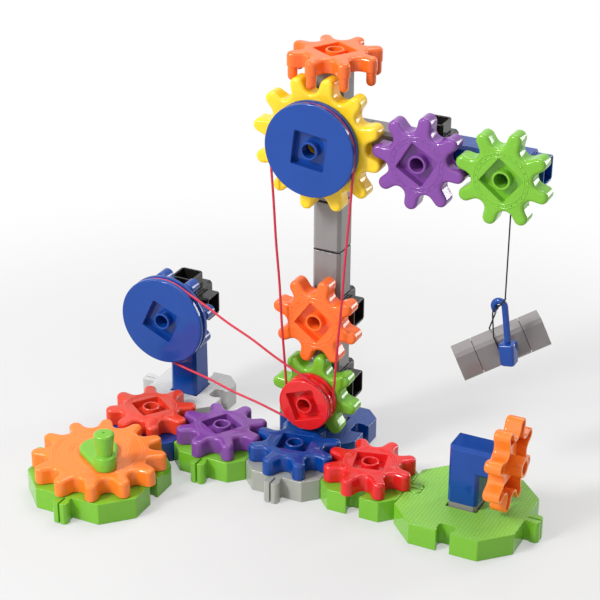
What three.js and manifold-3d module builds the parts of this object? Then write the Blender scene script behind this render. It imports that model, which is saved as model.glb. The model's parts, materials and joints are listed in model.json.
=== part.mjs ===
// A hand-cranked crane built from a toddler's gear building set: moulded plates that clip together,
// square pillars, six-way axles, gears, belt pulleys and a load that hangs from the arm.
// Millimetres, +Z up. The floor is z = 0 and the origin is the middle of the plates' footprint.
// The arm points along +X and the gears on the column face -Y.

import * as THREE from 'three';
import { mergeVertices } from 'three/addons/utils/BufferGeometryUtils.js';
import Module from 'manifold-3d';

const wasm = await Module();
wasm.setup();

// Grid and clearances
const pitch = 50.8;
const seatGap = 0.3;
const runGap = 0.3;
const cutOverrun = 1;

// Plates
const plateHeight = 14.1;
const smallCornerCut = 8.5;
const largeCornerCut = 16.3;
const plateSocketSide = 19.6;
const smallSocketDepth = 10.3;
const largeSocketDepth = 9.7;
const postRadius = 3.9;
const tabReach = 9;
const tabNeckWidth = 7.7;
const tabHeadWidth = 9.6;
const tabNeckLength = 3.6;
const tabHeadTaper = 1.5;
const tabSlitWidth = 0.9;
const tabSlitDepth = 8.2;
const notchGap = 0.4;

// Square building pieces
const cubeSide = 20;
const barSide = 18.4;
const barCornerRadius = 2;
const barBoreSide = 16;
const plugSide = 15.4;
const plugCornerRadius = 1.6;
const plugReach = 8.8;
const plugBoreSide = 13;
const linkSide = 17.2;
const linkHeight = 0.9;
const couplerPitch = pitch / 4;
const pillarLength = pitch - cubeSide - 2 * seatGap;
const couplerLength = couplerPitch - seatGap;
const leftPillarLength = 63.05;
const leftPillarFootSide = 19;
const elbowSide = 19;
const elbowHeight = 37.7;
const elbowLegHeight = 17.2;
const elbowReach = 17.8;

// Gears
const toothPitch = (Math.PI * pitch) / 8;
const addendum = 3.175;
const dedendum = 6.8;
const toothTipRadius = 4.1;
const valleyRadius = 4.6;
const gearThickness = 10.8;
const gearEdgeRound = 1.6;
const gearWall = 1.6;
const gearRoof = 1.8;
const recessSide = 18.8;
const recessDepth = 5;
const webThickness = 1.6;
const bossRadius = 5.6;
const boreRadius = 4.2;
const journalRadius = 6.2;
const journalReach = 5.6;
const smallTeeth = 8;
const largeTeeth = 12;

// Crown gear
const crownThickness = 8.6;
const pegReach = 8.6;
const pegRadius = 2.9;
const pegInset = 3.7;
const spigotRadius = 7.7;
const crownShoulderRadius = 9;
const crownShoulderHeight = 1.3;

// Pulleys and belts
const pulleyRadius = 28.4;
const pulleyThickness = 8.6;
const pulleyRecessSide = 20.8;
const smallPulleyRadius = 16.8;
const smallPulleyThickness = 13;
const grooveWidth = 3.4;
const grooveFloorWidth = 1.7;
const grooveDepth = 2.4;
const pulleyEdge = 0.8;
const smallGrooveInset = 3.3;
const beltRadius = 0.75;
const beltGap = 0.4;

// Crank
const crankRecessSide = 15;
const crankHubRadius = 11.6;
const crankThrow = 20.5;
const crankArmThickness = 3.4;
const crankEdgeRound = 0.8;
const collarRadius = 6.6;
const collarHeight = 9.2;
const knobFootRadius = 5.4;
const knobTopRadius = 6.3;
const knobHeight = 24.2;
const knobDome = 1.8;

// Hanging load
const stringRadius = 0.45;
const stringGap = 0.31;
const stringStandoff = 3.1;
const hookSide = 2.4;
const hookDrop = 83.2;
const curlRadius = 3.4;
const hookRodRadius = 1.95;
const hookStemLength = 23;
const hookBlockTop = 9.6;
const hookBlockFoot = 8.6;
const hookBlockHeight = 14;
const hookTilt = 8;
const curlSweep = 240;
const knotAngle = 50;
const slingAngle = 205;
const slingCornerRadius = 2.4;
const loopCornerRadius = 1.6;
const slingOffset = 2.2;
const loadDrop = 115.8;
const loadBack = 13;
const loadSide = -3.1;
const loadYaw = 33;
const loadPitch = 22.8;
const loadRoll = -7.4;

// How finely round forms are cut
const tipSteps = 3;
const valleySteps = 2;
const boreSides = 10;
const pulleySides = 20;
const cornerSteps = 2;
const cordSides = 6;
const rodSides = 8;
const knobSides = 14;
const bandStepsLarge = 14;
const bandStepsSmall = 10;
const crankHubSteps = 12;
const crankEndSteps = 7;
const curlSteps = 8;
const hookSteps = 20;
const eyeSteps = 10;
const slingTopSteps = 6;

// Where the parts stand, on the plates' grid
const smallPlateSpan = pitch;
const largePlateSpan = (pitch * largeTeeth) / smallTeeth;
const largeStep = (largePlateSpan + smallPlateSpan) / 2;
const rightPlateX = 3 * pitch + largeStep;
const columnX = 2 * pitch;
const backRowY = pitch;
const centreX = rightPlateX / 2;
const frontEdge = -largeStep - largePlateSpan / 2 - tabReach;
const backEdge = backRowY + smallPlateSpan / 2;
const centreY = (frontEdge + backEdge) / 2;
const gearFloor = plateHeight + seatGap;
const barFootSmall = plateHeight - smallSocketDepth + seatGap;
const barFootLarge = plateHeight - largeSocketDepth + seatGap;
const lowerAxleZ = barFootSmall + pillarLength + seatGap + cubeSide / 2;
const middleAxleZ = lowerAxleZ + pitch;
const stackStep = pillarLength + linkHeight + 2 * seatGap;
const stackHeight = 2 * stackStep + pillarLength + 2 * seatGap;
const upperAxleZ = middleAxleZ + cubeSide + stackHeight;
const leftAxleZ = barFootSmall + leftPillarLength + seatGap + cubeSide / 2;
const smallPitchRadius = (smallTeeth * toothPitch) / (2 * Math.PI);
const largePitchRadius = (largeTeeth * toothPitch) / (2 * Math.PI);
const armAxleX = columnX + largePitchRadius + smallPitchRadius;
const armEndX = armAxleX + 2 * smallPitchRadius;
const nodeReach = cubeSide / 2 + plugReach;
const footSide = recessSide - 2 * seatGap;
const faceDrop = seatGap + webThickness + recessDepth;
const gearFaceY = backRowY - nodeReach - faceDrop;
const plugBoreDepth = gearThickness - faceDrop + journalReach + seatGap;
const elbowFoot = barFootLarge + couplerLength + seatGap;
const elbowAxisZ = elbowFoot + elbowHeight - elbowLegHeight / 2;

const degrees = THREE.MathUtils.degToRad;

// Turns of the gears at rest, in degrees from their own +X, so that every pair is in mesh.
// B lies in the given direction from A, and A's tooth meets B's valley.
function meshTurn(teethA, turnA, direction, teethB) {
  return direction + 180 - ((turnA - direction) * teethA) / teethB - 180 / teethB;
}

const squareStep = 45;
const purpleTurn = 36;
const tomatoTurn = meshTurn(smallTeeth, purpleTurn, 180, smallTeeth);
const blueTurn = meshTurn(smallTeeth, purpleTurn, 0, smallTeeth) - squareStep;
const redTurn = meshTurn(smallTeeth, blueTurn, 0, smallTeeth);
const crankTurn = meshTurn(smallTeeth, tomatoTurn, -90, largeTeeth);
const columnGreenTurn = -blueTurn - 180 / smallTeeth;
const columnOrangeTurn = meshTurn(smallTeeth, columnGreenTurn, 90, smallTeeth) + squareStep;
const armPurpleTurn = 37;
const armGreenTurn = meshTurn(smallTeeth, armPurpleTurn, 0, smallTeeth);
const yellowTurn = meshTurn(smallTeeth, armPurpleTurn, 180, largeTeeth);
const yellowValleyTurn = yellowTurn + 180 / largeTeeth - 90;
const crownTurn = squareStep - 90 - (yellowValleyTurn * largeTeeth) / smallTeeth;
const leftBlueTurn = 12;
const rightOrangeTurn = squareStep + 180 / smallTeeth;
const topPulleyTurn = 38;
const redPulleyTurn = 66;
const leftPulleyTurn = 20;
const crankAim = -47;

// Colours
function plastic(color, roughness = 0.28) {
  return new THREE.MeshStandardMaterial({ color, roughness, metalness: 0 });
}

const orange = plastic('#f9812a');
const green = plastic('#7cc623');
const purple = plastic('#7a3fa0');
const blue = plastic('#1450a8');
const red = plastic('#e0202c');
const tomato = plastic('#e8452f');
const yellow = plastic('#f5d21e');
const grey = plastic('#8f8f92', 0.4);
const paleGrey = plastic('#b9babc', 0.4);
const black = plastic('#221f20', 0.4);
const beltRubber = plastic('#cc2f4a', 0.6);
const cordFibre = plastic('#1c1b1c', 0.9);

// A three.js geometry as a closed solid, and back
function solid(geometry) {
  const bare = geometry.clone();
  bare.deleteAttribute('normal');
  bare.deleteAttribute('uv');
  const merged = mergeVertices(bare);
  const corners = merged.index.array;
  const triangles = [];
  for (let i = 0; i < corners.length; i += 3) {
    const [a, b, c] = [corners[i], corners[i + 1], corners[i + 2]];
    if (a !== b && b !== c && c !== a) {
      triangles.push(a, b, c);
    }
  }
  return new wasm.Manifold(new wasm.Mesh({
    numProp: 3,
    vertProperties: Float32Array.from(merged.attributes.position.array),
    triVerts: Uint32Array.from(triangles),
  }));
}

function outward(body) {
  return body.volume() < 0 ? body.mirror([0, 0, 1]).mirror([0, 0, 1]) : body;
}

function toGeometry(body) {
  const mesh = body.getMesh();
  const geometry = new THREE.BufferGeometry();
  geometry.setAttribute('position', new THREE.BufferAttribute(Float32Array.from(mesh.vertProperties), 3));
  geometry.setIndex(new THREE.BufferAttribute(Uint32Array.from(mesh.triVerts), 1));
  geometry.computeVertexNormals();
  return geometry;
}

// Outlines
function arcPoints(centreX, centreY, radius, from, to, steps) {
  const points = [];
  for (let i = 0; i <= steps; i += 1) {
    const angle = from + ((to - from) * i) / steps;
    points.push(new THREE.Vector2(centreX + radius * Math.cos(angle), centreY + radius * Math.sin(angle)));
  }
  return points;
}

function roundedSquare(side, radius, inset = 0, steps = cornerSteps) {
  const corner = side / 2 - radius;
  const points = [];
  const corners = [[corner, corner], [-corner, corner], [-corner, -corner], [corner, -corner]];
  corners.forEach(([x, y], quarter) => {
    const start = (quarter * Math.PI) / 2;
    points.push(...arcPoints(x, y, radius - inset, start, start + Math.PI / 2, steps));
  });
  return points;
}

// Round tooth ends and round valleys, joined by the line that touches both
function gearOutline(teeth, inset = 0, roundSteps = tipSteps) {
  const pitchRadius = (teeth * toothPitch) / (2 * Math.PI);
  const tipCentre = pitchRadius + addendum - toothTipRadius;
  const valleyCentre = pitchRadius - dedendum + valleyRadius;
  const half = Math.PI / teeth;
  const stepX = valleyCentre * Math.cos(half) - tipCentre;
  const stepY = valleyCentre * Math.sin(half);
  const spread = Math.acos((toothTipRadius + valleyRadius) / Math.hypot(stepX, stepY));
  const flank = Math.atan2(stepY, stepX) - spread;
  const points = [];
  for (let i = 0; i < teeth; i += 1) {
    const turn = 2 * half * i;
    const tipX = tipCentre * Math.cos(turn);
    const tipY = tipCentre * Math.sin(turn);
    const tip = toothTipRadius - inset;
    points.push(...arcPoints(tipX, tipY, tip, turn - flank, turn + flank, roundSteps));
    const middle = turn + half;
    const from = turn + flank + Math.PI;
    const to = 2 * (middle + Math.PI) - from;
    const valleyX = valleyCentre * Math.cos(middle);
    const valleyY = valleyCentre * Math.sin(middle);
    points.push(...arcPoints(valleyX, valleyY, valleyRadius + inset, from, to, valleySteps));
  }
  return points;
}

// A solid through a stack of outlines with the same number of points, each at its own height
function loft(rings) {
  const count = rings[0].points.length;
  const positions = [];
  for (const ring of rings) {
    for (const point of ring.points) {
      positions.push(point.x, point.y, ring.z);
    }
  }
  const index = [];
  for (let level = 0; level + 1 < rings.length; level += 1) {
    for (let i = 0; i < count; i += 1) {
      const a = level * count + i;
      const b = level * count + ((i + 1) % count);
      index.push(a, b, b + count, a, b + count, a + count);
    }
  }
  const top = (rings.length - 1) * count;
  for (const [a, b, c] of THREE.ShapeUtils.triangulateShape(rings[0].points, [])) {
    index.push(a, c, b);
  }
  for (const [a, b, c] of THREE.ShapeUtils.triangulateShape(rings[rings.length - 1].points, [])) {
    index.push(top + a, top + b, top + c);
  }
  const geometry = new THREE.BufferGeometry();
  geometry.setAttribute('position', new THREE.BufferAttribute(new Float32Array(positions), 3));
  geometry.setIndex(index);
  return solid(geometry);
}

function prism(points, bottom, top) {
  return loft([{ points, z: bottom }, { points, z: top }]);
}

function cylinder(radius, bottom, top, sides = boreSides) {
  const geometry = new THREE.CylinderGeometry(radius, radius, top - bottom, sides);
  geometry.rotateX(Math.PI / 2);
  geometry.translate(0, 0, (top + bottom) / 2);
  return solid(geometry);
}

// A hole cut with flat sides stays clear of the round thing in it
function openRadius(radius, sides = boreSides) {
  return radius / Math.cos(Math.PI / sides);
}

function block(width, depth, bottom, top, turn = 0) {
  const geometry = new THREE.BoxGeometry(width, depth, top - bottom);
  geometry.rotateZ(degrees(turn));
  geometry.translate(0, 0, (top + bottom) / 2);
  return solid(geometry);
}

function revolve(profile, sides) {
  const geometry = new THREE.LatheGeometry(profile, sides);
  geometry.rotateX(Math.PI / 2);
  return solid(geometry);
}

function vectors(pairs) {
  return pairs.map(([x, y]) => new THREE.Vector2(x, y));
}

// Plates: an octagon with clips on two sides, keyholes for the neighbours' clips on the other two,
// a square socket and a round post in it
function clipOutline(widen) {
  const neck = tabNeckWidth / 2 + widen;
  const head = tabHeadWidth / 2 + widen;
  const headStart = tabNeckLength - widen;
  const headEnd = tabReach + widen;
  return vectors([
    [-neck, -cutOverrun],
    [neck, -cutOverrun],
    [neck, headStart - tabHeadTaper / 2],
    [head, headStart + tabHeadTaper / 2],
    [head, headEnd - tabHeadTaper],
    [head - tabHeadTaper, headEnd],
    [tabHeadTaper - head, headEnd],
    [-head, headEnd - tabHeadTaper],
    [-head, headStart + tabHeadTaper / 2],
    [-neck, headStart - tabHeadTaper / 2],
  ]);
}

function plate(span, cornerCut, socketDepth, tabs, notches) {
  const floor = plateHeight - socketDepth;
  const half = (span - seatGap) / 2;
  const flat = half - cornerCut;
  const octagon = vectors([
    [half, -flat], [half, flat], [flat, half], [-flat, half],
    [-half, flat], [-half, -flat], [-flat, -half], [flat, -half],
  ]);
  let body = prism(octagon, 0, plateHeight);
  for (const side of tabs) {
    const slitLength = tabSlitDepth + cutOverrun;
    const slit = block(tabSlitWidth, slitLength, -cutOverrun, plateHeight + cutOverrun);
    const slitMiddle = tabReach + cutOverrun - slitLength / 2;
    const clip = prism(clipOutline(0), 0, plateHeight).subtract(slit.translate([0, slitMiddle, 0]));
    body = body.add(clip.translate([0, half, 0]).rotate([0, 0, side - 90]));
  }
  for (const side of notches) {
    const keyhole = prism(clipOutline(notchGap), -cutOverrun, plateHeight + cutOverrun);
    const inward = keyhole.rotate([0, 0, 180]).translate([0, half + seatGap, 0]);
    body = body.subtract(inward.rotate([0, 0, side - 90]));
  }
  const socket = block(plateSocketSide, plateSocketSide, floor, plateHeight + cutOverrun);
  const post = cylinder(postRadius, floor - cutOverrun, floor + plugReach);
  return body.subtract(socket).add(post);
}

// Gears: the square recess takes a crank or a pulley, the round boss in it is the bearing, and the
// journal behind turns in an axle's plug or round a plate's post. The gears on the upright pieces
// show their backs, and those are hollow shells round a box that holds the recess.
function gearDisc(teeth, thickness) {
  return loft([
    { points: gearOutline(teeth), z: 0 },
    { points: gearOutline(teeth), z: thickness - gearEdgeRound },
    { points: gearOutline(teeth, gearEdgeRound), z: thickness },
  ]);
}

function gearBody(disc, teeth, squareSide) {
  const recessFloor = gearThickness - recessDepth;
  const corner = -180 / teeth - squareStep;
  const recess = block(squareSide, squareSide, recessFloor, gearThickness + cutOverrun, corner);
  const boss = cylinder(bossRadius, recessFloor - webThickness, gearThickness);
  const journal = cylinder(journalRadius, -journalReach, recessFloor);
  const bore = cylinder(openRadius(boreRadius), -journalReach - cutOverrun, gearThickness + cutOverrun);
  return disc.subtract(recess).add(boss).add(journal).subtract(bore);
}

function groundGear(teeth, squareSide = recessSide) {
  return gearBody(gearDisc(teeth, gearThickness), teeth, squareSide);
}

function hollowGear(teeth) {
  const roof = gearThickness - gearRoof;
  const boxSide = recessSide + 2 * gearWall;
  const boxFoot = gearThickness - recessDepth - webThickness;
  const hollow = prism(gearOutline(teeth, gearWall, 1), -cutOverrun, roof);
  const box = block(boxSide, boxSide, boxFoot, roof + gearRoof / 2, -180 / teeth - squareStep);
  return gearBody(gearDisc(teeth, gearThickness).subtract(hollow).add(box), teeth, recessSide);
}

function crownGear() {
  const recessFloor = crownThickness - recessDepth;
  const corner = -180 / smallTeeth - squareStep;
  const recess = block(recessSide, recessSide, recessFloor, crownThickness + cutOverrun, corner);
  const boss = cylinder(bossRadius, 0, crownThickness);
  const foot = -crownShoulderHeight - journalReach;
  const shoulder = cylinder(crownShoulderRadius, -crownShoulderHeight, recessFloor / 2);
  const spigot = cylinder(spigotRadius, foot, recessFloor / 2);
  const bore = cylinder(openRadius(boreRadius), foot - cutOverrun, crownThickness + cutOverrun);
  let body = gearDisc(smallTeeth, crownThickness).subtract(recess).add(boss);
  body = body.add(shoulder).add(spigot).subtract(bore);
  const end = arcPoints(0, pegRadius - pegReach, pegRadius, -Math.PI / 2, 0, 2);
  end[0].x = 0;
  const profile = [...end, ...vectors([[pegRadius, cutOverrun], [0, cutOverrun]])];
  const peg = revolve(profile, rodSides);
  for (let i = 0; i < smallTeeth; i += 1) {
    const place = smallPitchRadius + addendum - pegInset;
    body = body.add(peg.translate([place, 0, 0]).rotate([0, 0, (360 * i) / smallTeeth]));
  }
  return body;
}

// Pulleys: one or two grooves for the belts, the gears' recess in front and a square plug behind
function pulley(radius, thickness, grooves, frontTurn, squareSide) {
  const profile = [[0, 0], [radius - pulleyEdge, 0], [radius, pulleyEdge]];
  for (const middle of grooves) {
    profile.push([radius, middle - grooveWidth / 2]);
    profile.push([radius - grooveDepth, middle - grooveFloorWidth / 2]);
    profile.push([radius - grooveDepth, middle + grooveFloorWidth / 2]);
    profile.push([radius, middle + grooveWidth / 2]);
  }
  profile.push([radius, thickness - pulleyEdge], [radius - pulleyEdge, thickness], [0, thickness]);
  const plugFoot = seatGap - recessDepth;
  const recessFloor = thickness - recessDepth;
  const recess = block(squareSide, squareSide, recessFloor, thickness + cutOverrun, frontTurn - squareStep);
  const boss = cylinder(bossRadius, recessFloor - cutOverrun, thickness);
  const foot = block(footSide, footSide, plugFoot, cutOverrun, -squareStep);
  const bearing = cylinder(openRadius(bossRadius + runGap), plugFoot - cutOverrun, 0);
  const bore = cylinder(openRadius(boreRadius), -cutOverrun, thickness + cutOverrun);
  const disc = revolve(vectors(profile), pulleySides).subtract(recess).add(boss);
  return disc.add(foot).subtract(bearing).subtract(bore);
}

// A closed band round two pulleys, from groove to groove
function bandRoute(pulleyA, pulleyB) {
  const run = new THREE.Vector2(pulleyB.x - pulleyA.x, pulleyB.z - pulleyA.z);
  const base = run.angle();
  const spread = Math.acos((pulleyA.radius - pulleyB.radius) / run.length());
  const wrap = (wheel, from, to, steps) => (
    arcPoints(wheel.x, wheel.z, wheel.radius, from, to, steps).map((point) => (
      new THREE.Vector3(point.x, wheel.y, point.y)
    ))
  );
  const roundA = wrap(pulleyA, base + spread, base + 2 * Math.PI - spread, bandStepsLarge);
  const roundB = wrap(pulleyB, base - spread, base + spread, bandStepsSmall);
  const halfway = (from, to) => from[from.length - 1].clone().add(to[0]).divideScalar(2);
  return [...roundA, halfway(roundA, roundB), ...roundB, halfway(roundB, roundA)];
}

function closedTube(points, radius, across) {
  const count = points.length;
  const positions = [];
  const index = [];
  points.forEach((point, i) => {
    const along = points[(i + 1) % count].clone().sub(points[(i + count - 1) % count]).normalize();
    const side = new THREE.Vector3().crossVectors(along, across).normalize();
    const lift = new THREE.Vector3().crossVectors(side, along);
    for (let k = 0; k < cordSides; k += 1) {
      const angle = (2 * Math.PI * k) / cordSides;
      const spoke = side.clone().multiplyScalar(radius * Math.cos(angle));
      spoke.addScaledVector(lift, radius * Math.sin(angle)).add(point);
      positions.push(spoke.x, spoke.y, spoke.z);
      const next = (k + 1) % cordSides;
      const ahead = ((i + 1) % count) * cordSides;
      index.push(i * cordSides + k, ahead + k, ahead + next);
      index.push(i * cordSides + k, ahead + next, i * cordSides + next);
    }
  });
  const geometry = new THREE.BufferGeometry();
  geometry.setAttribute('position', new THREE.BufferAttribute(new Float32Array(positions), 3));
  geometry.setIndex(index);
  return outward(solid(geometry));
}

function openTube(curve, radius, steps, sides) {
  const section = new THREE.Shape(arcPoints(0, 0, radius, 0, 2 * Math.PI, sides).slice(0, sides));
  return solid(new THREE.ExtrudeGeometry(section, { steps, extrudePath: curve }));
}

// Square bars: a pillar is open at both ends, and a plug is the square arm that fits in it
function bar(length, side = barSide) {
  return prism(roundedSquare(side, barCornerRadius, 0, 1), 0, length);
}

function barBore(bottom, top) {
  return block(barBoreSide, barBoreSide, bottom, top);
}

function plug(bottom, top) {
  return prism(roundedSquare(plugSide, plugCornerRadius, 0, 1), bottom, top);
}

function plugBore(bottom, top) {
  return block(plugBoreSide, plugBoreSide, bottom, top);
}

function pillar(length) {
  return bar(length).subtract(barBore(-cutOverrun, length + cutOverrun));
}

function taperedPillar(length, footSide) {
  const body = loft([
    { points: roundedSquare(footSide, barCornerRadius, 0, 1), z: 0 },
    { points: roundedSquare(barSide, barCornerRadius, 0, 1), z: length },
  ]);
  return body.subtract(barBore(-cutOverrun, length + cutOverrun));
}

// A link has a plug at each end and joins two pillars
function link() {
  const top = linkHeight + plugReach;
  const body = plug(-plugReach, top).add(block(linkSide, linkSide, 0, linkHeight));
  return body.subtract(plugBore(-plugReach - cutOverrun, top + cutOverrun));
}

function coupler() {
  const body = bar(couplerLength).add(plug(0, couplerLength + plugReach));
  const blind = barBore(-cutOverrun, plugReach + seatGap);
  return body.subtract(blind).subtract(plugBore(couplerLength, couplerLength + plugReach + cutOverrun));
}

function axle() {
  const half = cubeSide / 2;
  const arm = plug(-nodeReach, nodeReach);
  const bore = plugBore(nodeReach - plugBoreDepth, nodeReach + cutOverrun);
  const bores = bore.add(bore.mirror([0, 0, 1]));
  const turns = [[0, 0, 0], [90, 0, 0], [0, 90, 0]];
  let body = block(cubeSide, cubeSide, -half, half);
  for (const turn of turns) {
    body = body.add(arm.rotate(turn));
  }
  for (const turn of turns) {
    body = body.subtract(bores.rotate(turn));
  }
  return body;
}

// The elbow stands on a coupler, and its short leg ends in a square that a gear sits on
function elbow() {
  const axis = elbowHeight - elbowLegHeight / 2;
  const tip = elbowReach + recessDepth;
  const turned = (body) => body.rotate([0, 90, 0]).translate([0, 0, axis]);
  const leg = (from) => {
    const whole = bar(elbowReach - from, elbowSide).translate([0, 0, from]);
    return turned(whole.scale([elbowLegHeight / elbowSide, 1, 1]));
  };
  const below = block(elbowSide, elbowSide, 0, axis);
  const upright = bar(elbowHeight, elbowSide).intersect(leg(-elbowSide).add(below));
  const square = turned(block(footSide, footSide, elbowReach, tip));
  const bearing = turned(cylinder(openRadius(bossRadius + runGap), elbowReach, tip + cutOverrun));
  const socket = barBore(-cutOverrun, plugReach + seatGap);
  return upright.add(leg(0)).add(square).subtract(bearing).subtract(socket);
}

// The arm's end: an open bar whose far end has a plug on its end and one on its front
function armEnd() {
  const near = cubeSide / 2 + seatGap - 2 * smallPitchRadius;
  const face = barSide / 2;
  const open = barBore(near - cutOverrun, near + plugReach + seatGap);
  const body = bar(face - near).translate([0, 0, near]).subtract(open);
  const stub = plug(0, nodeReach);
  const bore = plugBore(nodeReach - plugBoreDepth, nodeReach + cutOverrun);
  const forward = (part) => part.rotate([90, 0, 0]);
  const whole = body.add(stub).add(forward(stub)).subtract(bore).subtract(forward(bore));
  return whole.rotate([0, 90, 0]);
}

// The crank drops into the crank gear's recess. Its arm is a plate round two circles.
function crankOutline(inset) {
  const hub = crankHubRadius - inset;
  const end = collarRadius - inset;
  const lean = Math.acos((hub - end) / crankThrow);
  const round = arcPoints(0, 0, hub, lean, 2 * Math.PI - lean, crankHubSteps);
  return [...round, ...arcPoints(crankThrow, 0, end, -lean, lean, crankEndSteps)];
}

function crank(footTurn) {
  const arm = loft([
    { points: crankOutline(0), z: 0 },
    { points: crankOutline(0), z: crankArmThickness - crankEdgeRound },
    { points: crankOutline(crankEdgeRound), z: crankArmThickness },
  ]);
  const domeFoot = knobHeight - knobDome;
  const knob = revolve(vectors([
    [0, 0],
    [collarRadius, 0],
    [collarRadius, collarHeight - crankEdgeRound],
    [knobFootRadius + crankEdgeRound / 2, collarHeight],
    [knobFootRadius, collarHeight],
    [knobTopRadius, domeFoot],
    [knobTopRadius - knobDome, knobHeight],
    [0, knobHeight],
  ]), knobSides);
  const side = crankRecessSide - 2 * seatGap;
  const foot = block(side, side, seatGap - recessDepth, cutOverrun, footTurn - squareStep);
  const bearing = cylinder(openRadius(bossRadius + runGap), -recessDepth - cutOverrun, 0);
  return arm.add(knob.translate([crankThrow, 0, 0])).add(foot).subtract(bearing);
}

// The hook: a square foot, a round stem and an open curl at its top, with the stem's top at the origin
function hook() {
  const points = [];
  const stemParts = 4;
  for (let i = 0; i < stemParts; i += 1) {
    points.push(new THREE.Vector3(0, 0, hookStemLength * (i / stemParts - 1) - cutOverrun));
  }
  const sweep = degrees(curlSweep);
  for (const point of arcPoints(-curlRadius, 0, curlRadius, 0, sweep, curlSteps)) {
    points.push(new THREE.Vector3(point.x, 0, point.y));
  }
  const curl = openTube(new THREE.CatmullRomCurve3(points), hookRodRadius, hookSteps, rodSides);
  const top = -hookStemLength;
  const shoulder = roundedSquare(hookBlockTop, barCornerRadius);
  const foot = roundedSquare(hookBlockFoot, barCornerRadius);
  const cap = roundedSquare(hookBlockTop, barCornerRadius, hookRodRadius / 2);
  const square = loft([
    { points: foot, z: top - hookBlockHeight },
    { points: shoulder, z: top - hookRodRadius },
    { points: cap, z: top },
  ]);
  return curl.add(square);
}

// The string has an eye round the hook's curl at its foot
function stringBody(top, eye, radial) {
  const reach = openRadius(hookRodRadius + stringGap + stringRadius, eyeSteps);
  const points = [];
  for (let i = 0; i < eyeSteps; i += 1) {
    const angle = (2 * Math.PI * i) / eyeSteps;
    const point = eye.clone().addScaledVector(radial, reach * Math.cos(angle));
    points.push(point.addScaledVector(new THREE.Vector3(0, 1, 0), reach * Math.sin(angle)));
  }
  const normal = new THREE.Vector3(0, 1, 0).cross(radial);
  const foot = eye.clone().addScaledVector(radial, reach);
  const line = new THREE.LineCurve3(new THREE.Vector3(foot.x, top.y, top.z), foot);
  return closedTube(points, stringRadius, normal).add(openTube(line, stringRadius, 1, cordSides));
}

// The string's upper loop lies round the beam's front plug
function plugLoop(x, y, z) {
  const side = plugSide + 2 * (stringGap + stringRadius);
  const points = roundedSquare(side, loopCornerRadius).map((point) => (
    new THREE.Vector3(x + point.x, y, z + point.y)
  ));
  return closedTube(points, stringRadius, new THREE.Vector3(0, 1, 0));
}

// Everything in its place
const crane = new THREE.Group();
crane.name = 'gear_crane';

function add(name, body, x, y, z, material) {
  const placed = body.translate([x - centreX, y - centreY, z]);
  const mesh = new THREE.Mesh(toGeometry(placed), material);
  mesh.name = name;
  crane.add(mesh);
}

function facingFront(body, turn) {
  return body.rotate([0, 0, turn]).rotate([90, 0, 0]);
}

function facingLeft(body, turn) {
  return body.rotate([0, 0, turn]).rotate([90, 0, 0]).rotate([0, 0, -90]);
}

const [toRight, toBack, toLeft, toFront] = [0, 90, 180, 270];
const smallPlate = (tabs, notches) => plate(smallPlateSpan, smallCornerCut, smallSocketDepth, tabs, notches);
const largePlate = (tabs, notches) => plate(largePlateSpan, largeCornerCut, largeSocketDepth, tabs, notches);
const middlePlate = smallPlate([toFront, toRight], [toLeft, toBack]);
const backPlate = smallPlate([toFront, toLeft], [toRight, toBack]);
add('plate_crank', largePlate([toFront, toLeft], [toRight, toBack]), 0, -largeStep, 0, green);
add('plate_tomato', middlePlate, 0, 0, 0, blue);
add('plate_purple', middlePlate, pitch, 0, 0, green);
add('plate_blue', middlePlate, columnX, 0, 0, grey);
add('plate_red', smallPlate([toRight, toBack], [toLeft, toFront]), 3 * pitch, 0, 0, green);
add('plate_elbow', largePlate([toRight, toBack], [toLeft, toFront]), rightPlateX, 0, 0, green);
add('plate_left_column', backPlate, 0, backRowY, 0, paleGrey);
add('plate_column', backPlate, columnX, backRowY, 0, blue);

const flatGear = groundGear(smallTeeth);
const crankGear = groundGear(largeTeeth, crankRecessSide);
add('crank_gear', crankGear.rotate([0, 0, crankTurn]), 0, -largeStep, gearFloor, orange);
add('tomato_gear', flatGear.rotate([0, 0, tomatoTurn]), 0, 0, gearFloor, tomato);
add('purple_ground_gear', flatGear.rotate([0, 0, purpleTurn]), pitch, 0, gearFloor, purple);
add('blue_ground_gear', flatGear.rotate([0, 0, blueTurn]), columnX, 0, gearFloor, blue);
add('red_ground_gear', flatGear.rotate([0, 0, redTurn]), 3 * pitch, 0, gearFloor, red);
const crankFootTurn = crankTurn - 180 / largeTeeth - crankAim;
const crankFloor = gearFloor + gearThickness + seatGap;
add('crank_handle', crank(crankFootTurn).rotate([0, 0, crankAim]), 0, -largeStep, crankFloor, green);

const tallPillar = pillar(pillarLength);
const stackFloor = middleAxleZ + cubeSide / 2 + seatGap;
add('column_pillar_lower', tallPillar, columnX, backRowY, barFootSmall, grey);
add('column_pillar_middle', tallPillar, columnX, backRowY, lowerAxleZ + cubeSide / 2 + seatGap, grey);
add('column_stack_pillar_1', tallPillar, columnX, backRowY, stackFloor, grey);
add('column_stack_pillar_2', tallPillar, columnX, backRowY, stackFloor + stackStep, grey);
add('column_stack_pillar_3', tallPillar, columnX, backRowY, stackFloor + 2 * stackStep, grey);
const linkFloor = stackFloor + pillarLength + seatGap;
add('column_link_1', link(), columnX, backRowY, linkFloor, black);
add('column_link_2', link(), columnX, backRowY, linkFloor + stackStep, black);
const topPillarFoot = upperAxleZ + cubeSide / 2 + seatGap;
add('column_pillar_top', tallPillar, columnX, backRowY, topPillarFoot, grey);
add('column_axle_lower', axle(), columnX, backRowY, lowerAxleZ, black);
add('column_axle_middle', axle(), columnX, backRowY, middleAxleZ, black);
add('column_axle_upper', axle(), columnX, backRowY, upperAxleZ, black);
const leftPillar = taperedPillar(leftPillarLength, leftPillarFootSide);
add('left_pillar', leftPillar, 0, backRowY, barFootSmall, blue);
add('left_axle', axle(), 0, backRowY, leftAxleZ, black);

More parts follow.
